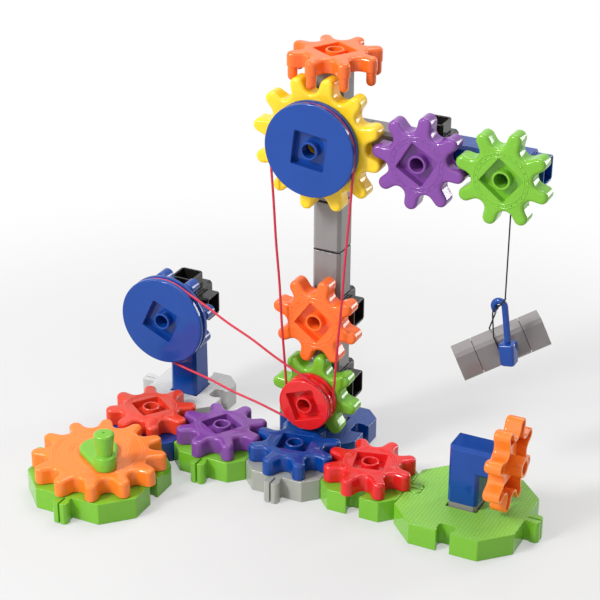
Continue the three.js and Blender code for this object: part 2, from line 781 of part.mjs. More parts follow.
const couplerX = columnX + cubeSide / 2 + seatGap;
const armPillarX = couplerX + couplerLength + seatGap;
add('arm_coupler', coupler().rotate([0, 90, 0]), couplerX, backRowY, upperAxleZ, grey);
add('arm_pillar', tallPillar.rotate([0, 90, 0]), armPillarX, backRowY, upperAxleZ, grey);
add('arm_axle', axle(), armAxleX, backRowY, upperAxleZ, black);
add('arm_end_beam', armEnd(), armEndX, backRowY, upperAxleZ, blue);

const gearBackY = gearFaceY + gearThickness;
const crownFloor = topPillarFoot + pillarLength + seatGap + crownShoulderHeight;
const smallGear = hollowGear(smallTeeth);
const largeGear = hollowGear(largeTeeth);
add('green_column_gear', facingFront(smallGear, columnGreenTurn), columnX, gearBackY, lowerAxleZ, green);
add('orange_column_gear', facingFront(smallGear, columnOrangeTurn), columnX, gearBackY, middleAxleZ, orange);
add('yellow_gear', facingFront(largeGear, yellowTurn), columnX, gearBackY, upperAxleZ, yellow);
add('purple_arm_gear', facingFront(smallGear, armPurpleTurn), armAxleX, gearBackY, upperAxleZ, purple);
add('green_arm_gear', facingFront(smallGear, armGreenTurn), armEndX, gearBackY, upperAxleZ, green);
add('left_blue_gear', facingFront(smallGear, leftBlueTurn), 0, gearBackY, leftAxleZ, blue);
add('crown_gear', crownGear().rotate([0, 0, crownTurn]), columnX, backRowY, crownFloor, orange);

// The last gear is put on back to front, with its recess over the elbow's square end
const rightGearX = rightPlateX + elbowReach + seatGap + gearThickness;
add('elbow_coupler', coupler(), rightPlateX, 0, barFootLarge, grey);
add('elbow', elbow(), rightPlateX, 0, elbowFoot, blue);
add('right_orange_gear', facingLeft(smallGear, rightOrangeTurn), rightGearX, 0, elbowAxisZ, orange);

// Pulleys and their belts
const pulleyBackY = gearFaceY - seatGap;
const rearGroove = pulleyThickness / 2;
const frontGroove = smallPulleyThickness - smallGrooveInset;
const smallCorner = (turn) => turn - 180 / smallTeeth;
const yellowCorner = yellowTurn - 180 / largeTeeth;
const topFront = topPulleyTurn - yellowCorner;
const topPulley = pulley(pulleyRadius, pulleyThickness, [rearGroove], topFront, pulleyRecessSide);
const redCorner = smallCorner(columnGreenTurn);
const bothGrooves = [rearGroove, frontGroove];
const redFrontTurn = redPulleyTurn - redCorner;
const redPulley = pulley(smallPulleyRadius, smallPulleyThickness, bothGrooves, redFrontTurn, recessSide);
const leftCorner = smallCorner(leftBlueTurn);
const leftFront = leftPulleyTurn - leftCorner;
const leftPulley = pulley(pulleyRadius, pulleyThickness, [rearGroove], leftFront, pulleyRecessSide);
add('top_pulley', facingFront(topPulley, yellowCorner), columnX, pulleyBackY, upperAxleZ, blue);
add('red_pulley', facingFront(redPulley, redCorner), columnX, pulleyBackY, lowerAxleZ, red);
add('left_pulley', facingFront(leftPulley, leftCorner), 0, pulleyBackY, leftAxleZ, blue);

const beltDepth = grooveDepth - beltGap - beltRadius;
const wheelAt = (x, z, radius, groove, steps) => (
  { x, z, y: pulleyBackY - groove, radius: openRadius(radius - beltDepth, 2 * steps) }
);
const topWheel = wheelAt(columnX, upperAxleZ, pulleyRadius, rearGroove, bandStepsLarge);
const leftWheel = wheelAt(0, leftAxleZ, pulleyRadius, rearGroove, bandStepsLarge);
const redRear = wheelAt(columnX, lowerAxleZ, smallPulleyRadius, rearGroove, bandStepsSmall);
const redFront = wheelAt(columnX, lowerAxleZ, smallPulleyRadius, frontGroove, bandStepsSmall);
const frontAxis = new THREE.Vector3(0, 1, 0);
add('long_belt', closedTube(bandRoute(topWheel, redRear), beltRadius, frontAxis), 0, 0, 0, beltRubber);
add('side_belt', closedTube(bandRoute(leftWheel, redFront), beltRadius, frontAxis), 0, 0, 0, beltRubber);

// The hanging load
const stringY = gearBackY + stringStandoff;
const hookX = armEndX + hookSide;
const hookZ = upperAxleZ - hookDrop;
const hookPoint = (radius, angle, sideways) => {
  const turn = degrees(angle);
  const point = new THREE.Vector3(radius * Math.cos(turn) - curlRadius, sideways, radius * Math.sin(turn));
  return point.applyAxisAngle(frontAxis, -degrees(hookTilt));
};
const stringTopZ = upperAxleZ - plugSide / 2 - 2 * stringGap - 2 * stringRadius;
const stringTop = new THREE.Vector3(0, 0, stringTopZ - hookZ);
const eye = hookPoint(curlRadius, knotAngle, 0);
const radial = hookPoint(curlRadius + hookRodRadius, knotAngle, 0).sub(eye).normalize();
add('string_loop', plugLoop(armEndX, stringY, upperAxleZ), 0, 0, 0, cordFibre);
add('string', stringBody(stringTop, eye, radial), hookX, stringY, hookZ, cordFibre);
add('hook', hook().rotate([0, -hookTilt, 0]), hookX, stringY, hookZ, blue);

const loadX = armEndX + loadSide;
const loadY = stringY + loadBack;
const loadZ = upperAxleZ - loadDrop;
const asLoad = (body) => body.rotate([0, 90, 0]).rotate([loadRoll, -loadPitch, loadYaw]);
const capFoot = pillarLength / 2 + seatGap + couplerLength;
const loadPillar = tallPillar.translate([0, 0, -pillarLength / 2]);
const leftCap = coupler().translate([0, 0, -capFoot]);
const rightCap = coupler().rotate([0, 180, 0]).translate([0, 0, capFoot]);
add('weight_pillar', asLoad(loadPillar), loadX, loadY, loadZ, grey);
add('weight_cap_left', asLoad(leftCap), loadX, loadY, loadZ, grey);
add('weight_cap_right', asLoad(rightCap), loadX, loadY, loadZ, grey);

const loadTurn = new THREE.Euler(degrees(loadRoll), -degrees(loadPitch), degrees(loadYaw), 'ZYX');
const hookPlace = new THREE.Vector3(hookX, stringY, hookZ);
const loadPlace = new THREE.Vector3(loadX, loadY, loadZ);
const slingReach = openRadius(hookRodRadius + stringGap + stringRadius, 2 * slingTopSteps);
// The sling goes over the hook's open end and under the weight
const overHook = [];
for (let i = 0; i <= slingTopSteps; i += 1) {
  const angle = (Math.PI * i) / slingTopSteps;
  const radius = curlRadius - slingReach * Math.sin(angle);
  overHook.push(hookPoint(radius, slingAngle, slingReach * Math.cos(angle)).add(hookPlace));
}
const belowCurl = (point) => new THREE.Vector3(point.x, point.y, point.z - curlRadius);
overHook.unshift(belowCurl(overHook[0]));
overHook.push(belowCurl(overHook[overHook.length - 1]));
const slingSide = barSide + 2 * (stringGap + stringRadius);
const slingSquare = roundedSquare(slingSide, slingCornerRadius).map((point) => (
  new THREE.Vector3(-slingOffset, point.x, point.y).applyEuler(loadTurn).add(loadPlace)
));
const topBack = slingSquare.splice(0, cornerSteps + 1);
const slingRoute = [...overHook, ...slingSquare, ...topBack];
const loadAxis = new THREE.Vector3(1, 0, 0).applyEuler(loadTurn);
add('sling', closedTube(slingRoute, stringRadius, loadAxis), 0, 0, 0, cordFibre);

export default crane;
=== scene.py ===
"""A hand-cranked toy crane built from a plastic gear set, dressed for rendering.

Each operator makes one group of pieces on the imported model, which stays as it is. Lengths are
written in millimetres, as they are on the real pieces, and the meshes are in metres.
"""

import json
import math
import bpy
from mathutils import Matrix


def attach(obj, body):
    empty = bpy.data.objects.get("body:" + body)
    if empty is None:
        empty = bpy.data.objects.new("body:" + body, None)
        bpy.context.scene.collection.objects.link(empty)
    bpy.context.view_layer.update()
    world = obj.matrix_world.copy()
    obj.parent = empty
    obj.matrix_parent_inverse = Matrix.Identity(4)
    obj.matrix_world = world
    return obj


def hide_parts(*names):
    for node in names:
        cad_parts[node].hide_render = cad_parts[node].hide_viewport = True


bl_info = {
    "name": "Gear Crane",
    "version": (1, 0, 0),
    "blender": (4, 5, 0),
    "location": "3D View > Sidebar > Gear Crane",
    "description": "Builds a toy crane of clip-together plates, gears, pulleys and a hanging load",
    "category": "Add Mesh",
}

import bmesh
import bpy
from bpy.props import FloatProperty, FloatVectorProperty, IntProperty, PointerProperty
from bpy.types import NodeSocket, Operator, Panel, PropertyGroup
from mathutils import Matrix, Vector
from mathutils.geometry import tessellate_polygon

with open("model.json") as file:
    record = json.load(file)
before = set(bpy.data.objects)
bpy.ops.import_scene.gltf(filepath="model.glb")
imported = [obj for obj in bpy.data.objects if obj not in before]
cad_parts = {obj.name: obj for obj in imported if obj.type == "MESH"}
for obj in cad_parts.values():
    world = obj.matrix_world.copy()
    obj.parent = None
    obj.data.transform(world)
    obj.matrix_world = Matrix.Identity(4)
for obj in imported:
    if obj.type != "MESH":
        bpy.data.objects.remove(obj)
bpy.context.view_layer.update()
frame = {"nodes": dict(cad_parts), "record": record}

MM = 0.001

# Where the pieces stand on the plates' grid. Its own origin is the orange-red gear's axis.
PITCH = 50.8
LARGE_STEP = 63.5
CENTRE_X = 107.95
CENTRE_Y = -17.2
COLUMN_X = 2 * PITCH
RIGHT_X = 215.9
RIGHT_GEAR_X = 244.8
ARM_AXLE_X = 165.1
GEAR_FLOOR = 14.4
GEAR_BACK_Y = 35.9
GEAR_FACE_Y = 25.1
STRING_Y = 39.0
LOWER_Z = 44.6
MIDDLE_Z = 95.4
UPPER_Z = 209.6
LEFT_Z = 77.45
CROWN_Z = 251.7
ELBOW_Z = 46.5
SEAT_GAP = 0.3


def linear(red, green, blue):
    """A colour as it is picked on a screen, turned into the renderer's linear values."""
    out = []
    for value in (red, green, blue):
        share = value / 255
        out.append(share / 12.92 if share <= 0.04045 else ((share + 0.055) / 1.055) ** 2.4)
    return out


def a_colour(name, description, *screen):
    return FloatVectorProperty(
        name=name, description=description, subtype="COLOR", size=3, min=0, max=1,
        default=linear(*screen),
    )


def a_length(name, description, default):
    """A length, given in millimetres and kept in metres."""
    return FloatProperty(
        name=name, description=description, default=default * MM, min=0, precision=5,
        unit="LENGTH",
    )


def an_angle(name, description, default):
    """An angle, given in degrees and kept in radians."""
    return FloatProperty(
        name=name, description=description, default=math.radians(default), min=0, subtype="ANGLE",
    )


def a_power(name, description, default):
    return FloatProperty(name=name, description=description, default=default, min=0, unit="POWER")


def a_share(name, description, default):
    return FloatProperty(
        name=name, description=description, default=default, min=0, max=1, subtype="FACTOR",
    )


class PaletteSettings(PropertyGroup):
    """The colours of the plastics, the belts and the string"""

    orange: a_colour("Orange", "Crank gear and right gear", 255, 130, 42)
    # Painted shade: the orange made redder for the column gear and crown gear, whose faces are
    # mostly in shade
    deep_orange: a_colour("Deep orange", "Column gear and crown gear", 253, 110, 36)
    green: a_colour("Green", "Plates, crank handle and two gears", 118, 184, 46)
    purple: a_colour("Purple", "Purple gears", 126, 68, 154)
    blue: a_colour("Blue", "Large pulleys, blue gears, elbow, hook and beam", 2, 64, 150)
    red: a_colour("Red", "Small pulley and red gear", 224, 32, 34)
    tomato: a_colour("Orange-red", "Gear between the crank gear and the purple gear", 228, 66, 42)
    yellow: a_colour("Yellow", "Large gear on the column", 250, 208, 36)
    grey: a_colour("Grey", "Pillars and couplers", 136, 133, 133)
    slate: a_colour("Slate", "The three pieces of the hanging weight", 133, 127, 127)
    stone: a_colour("Stone grey", "Plate under the blue gear", 162, 164, 156)
    pale_grey: a_colour("Pale grey", "Plate under the left column", 188, 188, 187)
    black: a_colour("Black", "Axles", 30, 26, 26)
    belt: a_colour("Belt red", "Rubber belts", 202, 34, 64)
    string: a_colour("String black", "String and sling", 26, 24, 24)


class GearSettings(PropertyGroup):
    """Sizes of the gears"""

    tooth_pitch: a_length("Tooth pitch", "Distance between teeth on the pitch circle", 19.949)
    addendum: a_length("Addendum", "Height of a tooth above the pitch circle", 3.175)
    dedendum: a_length("Dedendum", "Depth of a valley below the pitch circle", 6.8)
    tip_radius: a_length("Tooth end radius", "Radius of the round tooth ends", 4.1)
    valley_radius: a_length("Valley radius", "Radius of the round valleys", 4.6)
    thickness: a_length("Thickness", "Thickness of a gear's disc", 10.8)
    rounding: a_length("Front rounding", "Radius of the front edge", 2.3)
    back_rounding: a_length("Back rounding", "Radius of the back edge", 0.5)
    wall: a_length("Wall", "Thickness of a hollow gear's rim", 1.6)
    roof: a_length("Roof", "Thickness of a hollow gear's face", 1.8)
    recess_side: a_length("Recess side", "Side of the square recess", 18.8)
    crank_recess_side: a_length("Crank recess side", "Side of the crank gear's recess", 15)
    recess_depth: a_length("Recess depth", "Depth of the square recess", 5)
    web: a_length("Web", "Thickness of the web under the recess", 1.6)
    boss_radius: a_length("Boss radius", "Outer radius of the round boss", 5.6)
    bore_radius: a_length("Bore radius", "Radius of the bore through the boss", 4.2)
    journal_radius: a_length("Journal radius", "Radius of the journal behind the gear", 6.2)
    journal_reach: a_length("Journal reach", "How far the journal stands out behind", 5.6)
    inner_ring: a_length("Inner ring", "Radius of the inner raised line on the face", 13.9)
    outer_ring: a_length("Outer ring", "Radius of the outer raised line on the face", 16.3)
    ring_width: a_length("Ring width", "Width of a raised line", 0.9)
    ring_height: a_length("Ring height", "Height of a raised line", 0.28)
    mark_count: IntProperty(name="Marks", description="Small marks on a face", default=24, min=3)
    crown_thickness: a_length("Crown thickness", "Thickness of the crown gear's disc", 8.6)
    crown_inset: a_length("Crown inset", "How far its rim stays inside its outline", 0.28)
    peg_reach: a_length("Peg reach", "Length of the crown gear's pegs", 8.6)
    peg_radius: a_length("Peg radius", "Radius of the crown gear's pegs", 2.9)
    peg_circle: a_length("Peg circle", "Radius of the circle that the pegs stand on", 24.875)
    spigot_radius: a_length("Spigot radius", "Radius of the crown gear's spigot", 7.7)
    shoulder_radius: a_length("Shoulder radius", "Radius of the shoulder over the spigot", 9)
    shoulder_height: a_length("Shoulder height", "Height of the shoulder over the spigot", 1.3)


class PulleySettings(PropertyGroup):
    """Sizes of the pulleys and the belts"""

    radius: a_length("Large radius", "Radius of the blue pulleys", 28.4)
    thickness: a_length("Large thickness", "Thickness of the blue pulleys", 8.6)
    recess_side: a_length("Large recess side", "Side of the blue pulleys' square recess", 20.8)
    small_radius: a_length("Small radius", "Radius of the red pulley", 16.8)
    small_thickness: a_length("Small thickness", "Thickness of the red pulley", 13)
    front_groove: a_length("Front groove", "Height of the red pulley's front groove", 9.7)
    groove_width: a_length("Groove width", "Width of a groove at its mouth", 3.4)
    groove_floor: a_length("Groove floor", "Width of a groove's floor", 1.7)
    groove_depth: a_length("Groove depth", "Depth of a groove", 2.4)
    edge: a_length("Edge", "Rounding of the rims", 0.8)
    plug_side: a_length("Plug side", "Side of the square plug behind", 18.2)
    belt_radius: a_length("Belt radius", "Radius of a belt's round section", 0.75)
    belt_gap: a_length("Belt gap", "Gap between a belt and the groove's floor", 0.4)


class CrankSettings(PropertyGroup):
    """Sizes of the crank handle"""

    hub_radius: a_length("Hub radius", "Radius of the arm's round hub", 11.6)
    throw: a_length("Throw", "Distance from the gear's axis to the knob's", 20.5)
    arm_thickness: a_length("Arm thickness", "Thickness of the arm", 3.4)
    rounding: a_length("Rounding", "Rounding of the arm's upper edge", 1.3)
    collar_radius: a_length("Collar radius", "Radius of the collar under the knob", 6.6)
    collar_height: a_length("Collar height", "Height of the collar", 9.2)
    knob_foot: a_length("Knob foot", "Radius of the knob at its foot", 4.6)
    knob_top: a_length("Knob top", "Radius of the knob at its top", 6.3)
    knob_height: a_length("Knob height", "Height of the knob's top over the gear", 24.2)
    knob_dome: a_length("Knob dome", "Rounding of the knob's top edge", 1.8)


class BarSettings(PropertyGroup):
    """Finish of the plates, pillars, couplers and axles"""

    plate_edge: a_length("Plate edge", "Rounding of the plates' edges", 0.45)
    bar_edge: a_length("Bar edge", "Rounding of the bars' edges", 0.8)
    axle_edge: a_length("Axle edge", "Rounding of the axles' edges", 0.4)


class LoadSettings(PropertyGroup):
    """Sizes of the string and the hook"""

    string_radius: a_length("String radius", "Radius of the string", 0.45)
    string_gap: a_length("String gap", "Gap between the string and what it goes round", 0.31)
    curl_radius: a_length("Curl radius", "Radius of the hook's curl", 3.4)
    rod_radius: a_length("Rod radius", "Radius of the hook's rod", 1.95)
    stem_length: a_length("Stem length", "Length of the hook's stem", 23)
    curl_sweep: an_angle("Curl sweep", "How far the curl goes round", 240)
    block_top: a_length("Block top", "Side of the hook's block at its top", 9.6)
    block_foot: a_length("Block foot", "Side of the hook's block at its foot", 8.6)
    block_height: a_length("Block height", "Height of the hook's block", 14)
    tilt: an_angle("Tilt", "How far the hook leans", 8)


class StageSettings(PropertyGroup):
    """Light, floor and camera"""

    key_power: a_power("Key power", "Power of the light at the front left", 18)
    left_power: a_power("Left power", "Power of the tall light further left", 5.5)
    fill_power: a_power("Fill power", "Power of the large soft light in front", 8.2)
    back_power: a_power("Back power", "Power of the tall light at the back right", 4)
    top_power: a_power("Top power", "Power of the light overhead", 13)
    world_strength: a_share("World strength", "Strength of the plain surroundings", 0.26)
    floor: a_colour("Floor", "Colour of the floor", 216, 215, 215)
    floor_lift: a_share("Floor lift", "Share of even paleness in the floor near the toy", 0.5)
    floor_glow: a_share("Floor glow", "Strength of that even paleness near the toy", 0.82)
    fade_start: a_length("Fade start", "Distance at which the floor starts to turn white", 180)
    fade_end: a_length("Fade end", "Distance at which the floor is white", 500)


class InMillimetres:
    """Reads a group's lengths in millimetres, and its other values as they are"""

    def __init__(self, group):
        self.group = group

    def __getattr__(self, key):
        value = getattr(self.group, key)
        return value / MM if self.group.bl_rna.properties[key].unit == "LENGTH" else value


def settings(name):
    return InMillimetres(getattr(bpy.context.scene, "crane_" + name))


def grid(x, y, z):
    """A point on the plates' grid, in millimetres, in the model's frame in metres."""
    return Vector(((x - CENTRE_X) * MM, (y - CENTRE_Y) * MM, z * MM))


def recess_turn(turn, teeth):
    """The turn of a gear's square recess, whose corner points at a valley between two teeth."""
    return turn - 180 / teeth


def mesh_turn(teeth_a, turn_a, direction, teeth_b):
    """The turn of gear B that fits gear A's teeth, when B lies in that direction from A."""
    return direction + 180 - (turn_a - direction) * teeth_a / teeth_b - 180 / teeth_b


# Turns of the wheels at rest, in degrees from their own +X
PURPLE_TURN = 36
TOMATO_TURN = mesh_turn(8, PURPLE_TURN, 180, 8)
BLUE_TURN = mesh_turn(8, PURPLE_TURN, 0, 8) - 45
RED_TURN = mesh_turn(8, BLUE_TURN, 0, 8)
CRANK_TURN = mesh_turn(8, TOMATO_TURN, -90, 12)
COLUMN_GREEN_TURN = -BLUE_TURN - 22.5
COLUMN_ORANGE_TURN = mesh_turn(8, COLUMN_GREEN_TURN, 90, 8) + 45
ARM_PURPLE_TURN = 37
ARM_GREEN_TURN = mesh_turn(8, ARM_PURPLE_TURN, 0, 8)
YELLOW_TURN = mesh_turn(8, ARM_PURPLE_TURN, 180, 12)
CROWN_TURN = 45 - 90 - (YELLOW_TURN + 15 - 90) * 12 / 8
LEFT_BLUE_TURN = 12
RIGHT_ORANGE_TURN = 67.5
CRANK_AIM = -47
TOP_PULLEY_TURN = 38
LEFT_PULLEY_TURN = 20
RED_PULLEY_TURN = 66


def turned(degrees, axis):
    return Matrix.Rotation(math.radians(degrees), 4, axis)


# How a wheel is laid down for each way that its face can look
LAID = {
    "up": Matrix.Identity(4),
    "front": turned(90, "X"),
    "left": turned(-90, "Z") @ turned(90, "X"),
}


def facing(way, x, y, z, turn):
    """The place of a wheel whose face looks that way, turned about its own axis."""
    return Matrix.Translation(grid(x, y, z)) @ LAID[way] @ turned(turn, "Z")


# Outlines, in millimetres
def arc(x, y, radius, start, end, steps):
    points = []
    for i in range(steps + 1):
        angle = start + (end - start) * i / steps
        points.append((x + radius * math.cos(angle), y + radius * math.sin(angle)))
    return points


def circle(radius, steps, x=0, y=0):
    return arc(x, y, radius, 0, 2 * math.pi, steps)[:-1]


def rounded_square(side, radius, turn=0, steps=4):
    corner = side / 2 - radius
    points = []
    for quarter, (sign_x, sign_y) in enumerate(((1, 1), (-1, 1), (-1, -1), (1, -1))):
        start = quarter * math.pi / 2
        points += arc(sign_x * corner, sign_y * corner, radius, start, start + math.pi / 2, steps)
    lean = math.radians(turn)
    cos, sin = math.cos(lean), math.sin(lean)
    return [(x * cos - y * sin, x * sin + y * cos) for x, y in points]


def gear_outline(teeth, inset=0):
    """Round teeth and round valleys that run into each other, all drawn in by the inset."""
    gear = settings("gear")
    pitch_radius = teeth * gear.tooth_pitch / (2 * math.pi)
    tip_centre = pitch_radius + gear.addendum - gear.tip_radius
    valley_centre = pitch_radius - gear.dedendum + gear.valley_radius
    half = math.pi / teeth
    step_x = valley_centre * math.cos(half) - tip_centre
    step_y = valley_centre * math.sin(half)
    spread = math.acos((gear.tip_radius + gear.valley_radius) / math.hypot(step_x, step_y))
    flank = math.atan2(step_y, step_x) - spread
    points = []
    for i in range(teeth):
        turn = 2 * half * i
        tip = (tip_centre * math.cos(turn), tip_centre * math.sin(turn))
        points += arc(*tip, gear.tip_radius - inset, turn - flank, turn + flank, 9)
        middle = turn + half
        start = turn + flank + math.pi
        end = 2 * (middle + math.pi) - start
        valley = (valley_centre * math.cos(middle), valley_centre * math.sin(middle))
        points += arc(*valley, gear.valley_radius + inset, start, end, 7)
    return points


def rounded_edge(radius, top, steps=4):
    """Pairs of (inset, height) up a quarter round under a face at that height."""
    pairs = []
    for i in range(steps + 1):
        angle = math.pi / 2 * i / steps
        pairs.append((radius * (1 - math.cos(angle)), top - radius + radius * math.sin(angle)))
    return pairs


# Points within this distance, in metres, are one: in a shell, and in a copy of a CAD mesh
SAME_POINT = 1e-7
SAME_CAD_POINT = 1e-6


def close_seams(work):
    """Joins the points that fall together and turns all faces outwards."""
    bmesh.ops.remove_doubles(work, verts=work.verts, dist=SAME_POINT)
    bmesh.ops.recalc_face_normals(work, faces=work.faces)


class Shell:
    """A closed surface put together from rings of points and flat caps, in millimetres"""

    def __init__(self):
        self.points = []
        self.faces = []

    def ring(self, outline, z):
        first = len(self.points)
        self.points += [Vector((x, y, z)) for x, y in outline]
        return list(range(first, len(self.points)))

    def round_ring(self, radius, z, sides=36):
        return self.ring(circle(radius, sides), z)

    def square_ring(self, side, corner, turn, z):
        return self.ring(rounded_square(side, corner, turn), z)

    def wall(self, *rings):
        for low, high in zip(rings, rings[1:]):
            count = len(low)
            for i in range(count):
                j = (i + 1) % count
                self.faces.append((low[i], low[j], high[j], high[i]))

    def cap(self, outer, *holes):
        loops = [[self.points[i] for i in loop] for loop in (outer, *holes)]
        flat = [i for loop in (outer, *holes) for i in loop]
        for a, b, c in tessellate_polygon(loops):
            self.faces.append((flat[a], flat[b], flat[c]))

    def lathe(self, profile, sides, x=0, y=0):
        """A profile of (radius, z) turned about an upright axis, on which it starts and ends."""
        rings = [self.ring(circle(radius, sides, x, y), z) for radius, z in profile[1:-1]]
        self.wall(*rings)
        for ring, (_, z) in ((rings[0], profile[0]), (rings[-1], profile[-1])):
            self.points.append(Vector((x, y, z)))
            centre = len(self.points) - 1
            for i in range(sides):
                self.faces.append((ring[i], ring[(i + 1) % sides], centre))

    def mesh(self, name, place):
        work = bmesh.new()
        made = [work.verts.new(point * MM) for point in self.points]
        for face in self.faces:
            if len(set(face)) == len(face):
                work.faces.new([made[i] for i in face])
        close_seams(work)
        work.transform(place)
        mesh = bpy.data.meshes.new(name)
        work.to_mesh(mesh)
        work.free()
        return mesh


# Nodes and materials
def add_node(tree, kind, inputs=None, **options):
    """A node with its options set, and each input given a value or linked to a socket."""
    node = tree.nodes.new(kind)
    for key, value in options.items():
        setattr(node, key, value)
    for key, value in (inputs or {}).items():
        if isinstance(value, NodeSocket):
            tree.links.new(value, node.inputs[key])
        else:
            node.inputs[key].default_value = value
    return node


def new_material(name):
    """An empty material, its tree and the piece's own coordinates."""
    material = bpy.data.materials.new(name)
    material.use_nodes = True
    tree = material.node_tree
    tree.nodes.clear()
    return material, tree, add_node(tree, "ShaderNodeTexCoord").outputs["Object"]


def painted(material, looks):
    """The material, once its surface has the plain shader with those looks."""
    shader = add_node(material.node_tree, "ShaderNodeBsdfPrincipled", looks)
    surface = {"Surface": shader.outputs["BSDF"]}
    add_node(material.node_tree, "ShaderNodeOutputMaterial", surface)
    return material


def combined(tree, operation, *values):
    node = add_node(tree, "ShaderNodeMath", dict(enumerate(values)), operation=operation)
    return node.outputs["Value"]


def remapped(tree, value, start, end, low=0, high=1, steps="LINEAR"):
    """The value, with start to end stretched to low to high and held there outside."""
    ends = {"From Min": start, "From Max": end, "To Min": low, "To Max": high}
    node = add_node(tree, "ShaderNodeMapRange", {"Value": value, **ends}, interpolation_type=steps)
    return node.outputs["Result"]


def noise(tree, place, scale, detail=2):
    look = {"Vector": place, "Scale": scale, "Detail": detail}
    return add_node(tree, "ShaderNodeTexNoise", look).outputs["Fac"]


def uneven(tree, place, scale, low, high, detail=2):
    """A value that drifts between low and high, as most of a noise lies from 0.3 to 0.7."""
    return remapped(tree, noise(tree, place, scale, detail), 0.3, 0.7, low, high)


def wave(tree, place, scale, direction, distortion=0):
    node = add_node(
        tree, "ShaderNodeTexWave", {"Vector": place, "Scale": scale, "Distortion": distortion},
        wave_type="BANDS", bands_direction=direction, wave_profile="SIN",
    )
    return node.outputs["Fac"]


def blended(tree, share, low, high):
    """A colour that goes from low to high as share goes from 0 to 1."""
    ends = {"Factor": share, "A": low, "B": high}
    return add_node(tree, "ShaderNodeMix", ends, data_type="RGBA").outputs["Result"]


def scaled(colour, factor, lift=0.0):
    return (*[min(1, factor * value + lift) for value in colour], 1)


def tinted(tree, colour, share):
    """The colour, a little darker or lighter as share goes from 0 to 1."""
    dark = scaled(colour, factor=0.9)
    return blended(tree, share, dark, scaled(colour, factor=1.06, lift=0.004))


def bump(tree, height, strength, distance, before=None):
    look = {"Height": height, "Strength": strength, "Distance": distance}
    if before is not None:
        look["Normal"] = before
    return add_node(tree, "ShaderNodeBump", look).outputs["Normal"]


def moulded_plastic(name, colour):
    """Glossy moulded plastic: slight flow marks in the colour, uneven gloss, a faint ripple."""
    material, tree, place = new_material(name)
    ripple = bump(tree, noise(tree, place, scale=90), strength=0.08, distance=0.0003)
    grain = noise(tree, place, scale=1300, detail=1)
    return painted(material, {
        "Base Color": tinted(tree, colour, noise(tree, place, scale=45, detail=3)),
        "Roughness": uneven(tree, place, scale=160, low=0.06, high=0.12, detail=3),
        "Normal": bump(tree, grain, strength=0.04, distance=0.00004, before=ripple),
        "Specular IOR Level": 0.42,
    })


# The spacing of the squared texture in metres, and the wave's scale for a spacing of one metre
SQUARE_SPACING = 0.0022
WAVE_SCALE = 0.314


def ribbed_plastic(name, colour):
    """The plates' tops: the same plastic with small raised squares moulded in, painted paler as
    painted light from above, with painted shade in the grooves.
    """
    material, tree, place = new_material(name)
    stripes = [wave(tree, place, WAVE_SCALE / SQUARE_SPACING, way) for way in "XY"]
    lower = combined(tree, "MINIMUM", *stripes)
    raised = remapped(tree, lower, start=0.05, end=0.45, steps="SMOOTHSTEP")
    # Painted light: the top's colour is paler than the plate's sides
    painted_lit_top = scaled(colour, factor=1.2, lift=0.05)[:3]
    # Painted shade: the grooves between the raised squares are darker
    groove = scaled(painted_lit_top, factor=0.8)
    top = tinted(tree, painted_lit_top, noise(tree, place, scale=45, detail=3))
    return painted(material, {
        "Base Color": blended(tree, raised, groove, top),
        "Roughness": uneven(tree, place, scale=160, low=0.26, high=0.4, detail=3),
        "Normal": bump(tree, raised, strength=0.6, distance=0.0002),
        "Specular IOR Level": 0.3,
    })


def belt_rubber(name, colour):
    """A rubber band: matt, with fine dust and small flats along it."""
    material, tree, place = new_material(name)
    return painted(material, {
        "Base Color": tinted(tree, colour, noise(tree, place, scale=220, detail=3)),
        "Roughness": uneven(tree, place, scale=700, low=0.42, high=0.62),
        "Normal": bump(tree, noise(tree, place, scale=900), strength=0.25, distance=0.0002),
    })


def twisted_fibre(name, colour):
    """A thin string: matt, with the ridges of its twist, and painted shade in the grooves between
    them.
    """
    material, tree, place = new_material(name)
    twist = wave(tree, place, scale=380, direction="DIAGONAL", distortion=1.5)
    return painted(material, {
        # Painted shade: the colour follows the twist's bump, darker in its grooves and a little
        # paler on its ridges
        "Base Color": tinted(tree, colour, twist),
        "Roughness": uneven(tree, place, scale=900, low=0.75, high=0.95),
        "Normal": bump(tree, twist, strength=0.6, distance=0.0002),
    })


# The suffix of the plates' top finishes, which are ribbed and painted paler as painted light
RIBBED = "_ribbed"


def finish_named(name):
    """The finish of that name, made from the palette the first time it is asked for."""
    if name in bpy.data.materials:
        return bpy.data.materials[name]
    make = {"belt": belt_rubber, "string": twisted_fibre}.get(name, moulded_plastic)
    if name.endswith(RIBBED):
        make = ribbed_plastic
    return make(name, getattr(settings("palette"), name.removesuffix(RIBBED)))


# Finishing of pieces
def add_object(name, data):
    made = bpy.data.objects.new(name, data)
    bpy.context.scene.collection.objects.link(made)
    return made


def mesh_of(piece):
    """The piece's mesh, once its object is removed."""
    mesh = piece.data
    bpy.data.objects.remove(piece)
    return mesh


def plain_mesh(piece):
    """Turns what the modifiers make into the piece's own mesh and removes them."""
    bpy.context.view_layer.update()
    graph = bpy.context.evaluated_depsgraph_get()
    mesh = bpy.data.meshes.new_from_object(piece.evaluated_get(graph))
    piece.modifiers.clear()
    piece.data = mesh
    return piece


def new_piece(name, mesh, finish):
    mesh.materials.append(finish_named(finish))
    return add_object(name, mesh)


def shade(mesh, degrees):
    """Smooth shading, with edges sharper than that kept sharp."""
    mesh.shade_smooth()
    mesh.set_sharp_from_angle(angle=math.radians(degrees))


def smooth(piece):
    """Smooth shading that keeps flat faces flat and sharp edges sharp."""
    shade(piece.data, 35)
    weighted = piece.modifiers.new("flat faces", "WEIGHTED_NORMAL")
    weighted.keep_sharp = True
    weighted.weight = 80
    return plain_mesh(piece)


def dress(piece, node):
    """The piece takes the node's place and moves with its body."""
    bodies = frame["record"]["behaviour"]["bodies"]
    body = next(name for name, nodes in bodies.items() if node in nodes)
    entry = next(part for part in frame["record"]["subparts"] if part["node"] == node)
    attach(piece, body)
    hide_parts(node)
    return piece


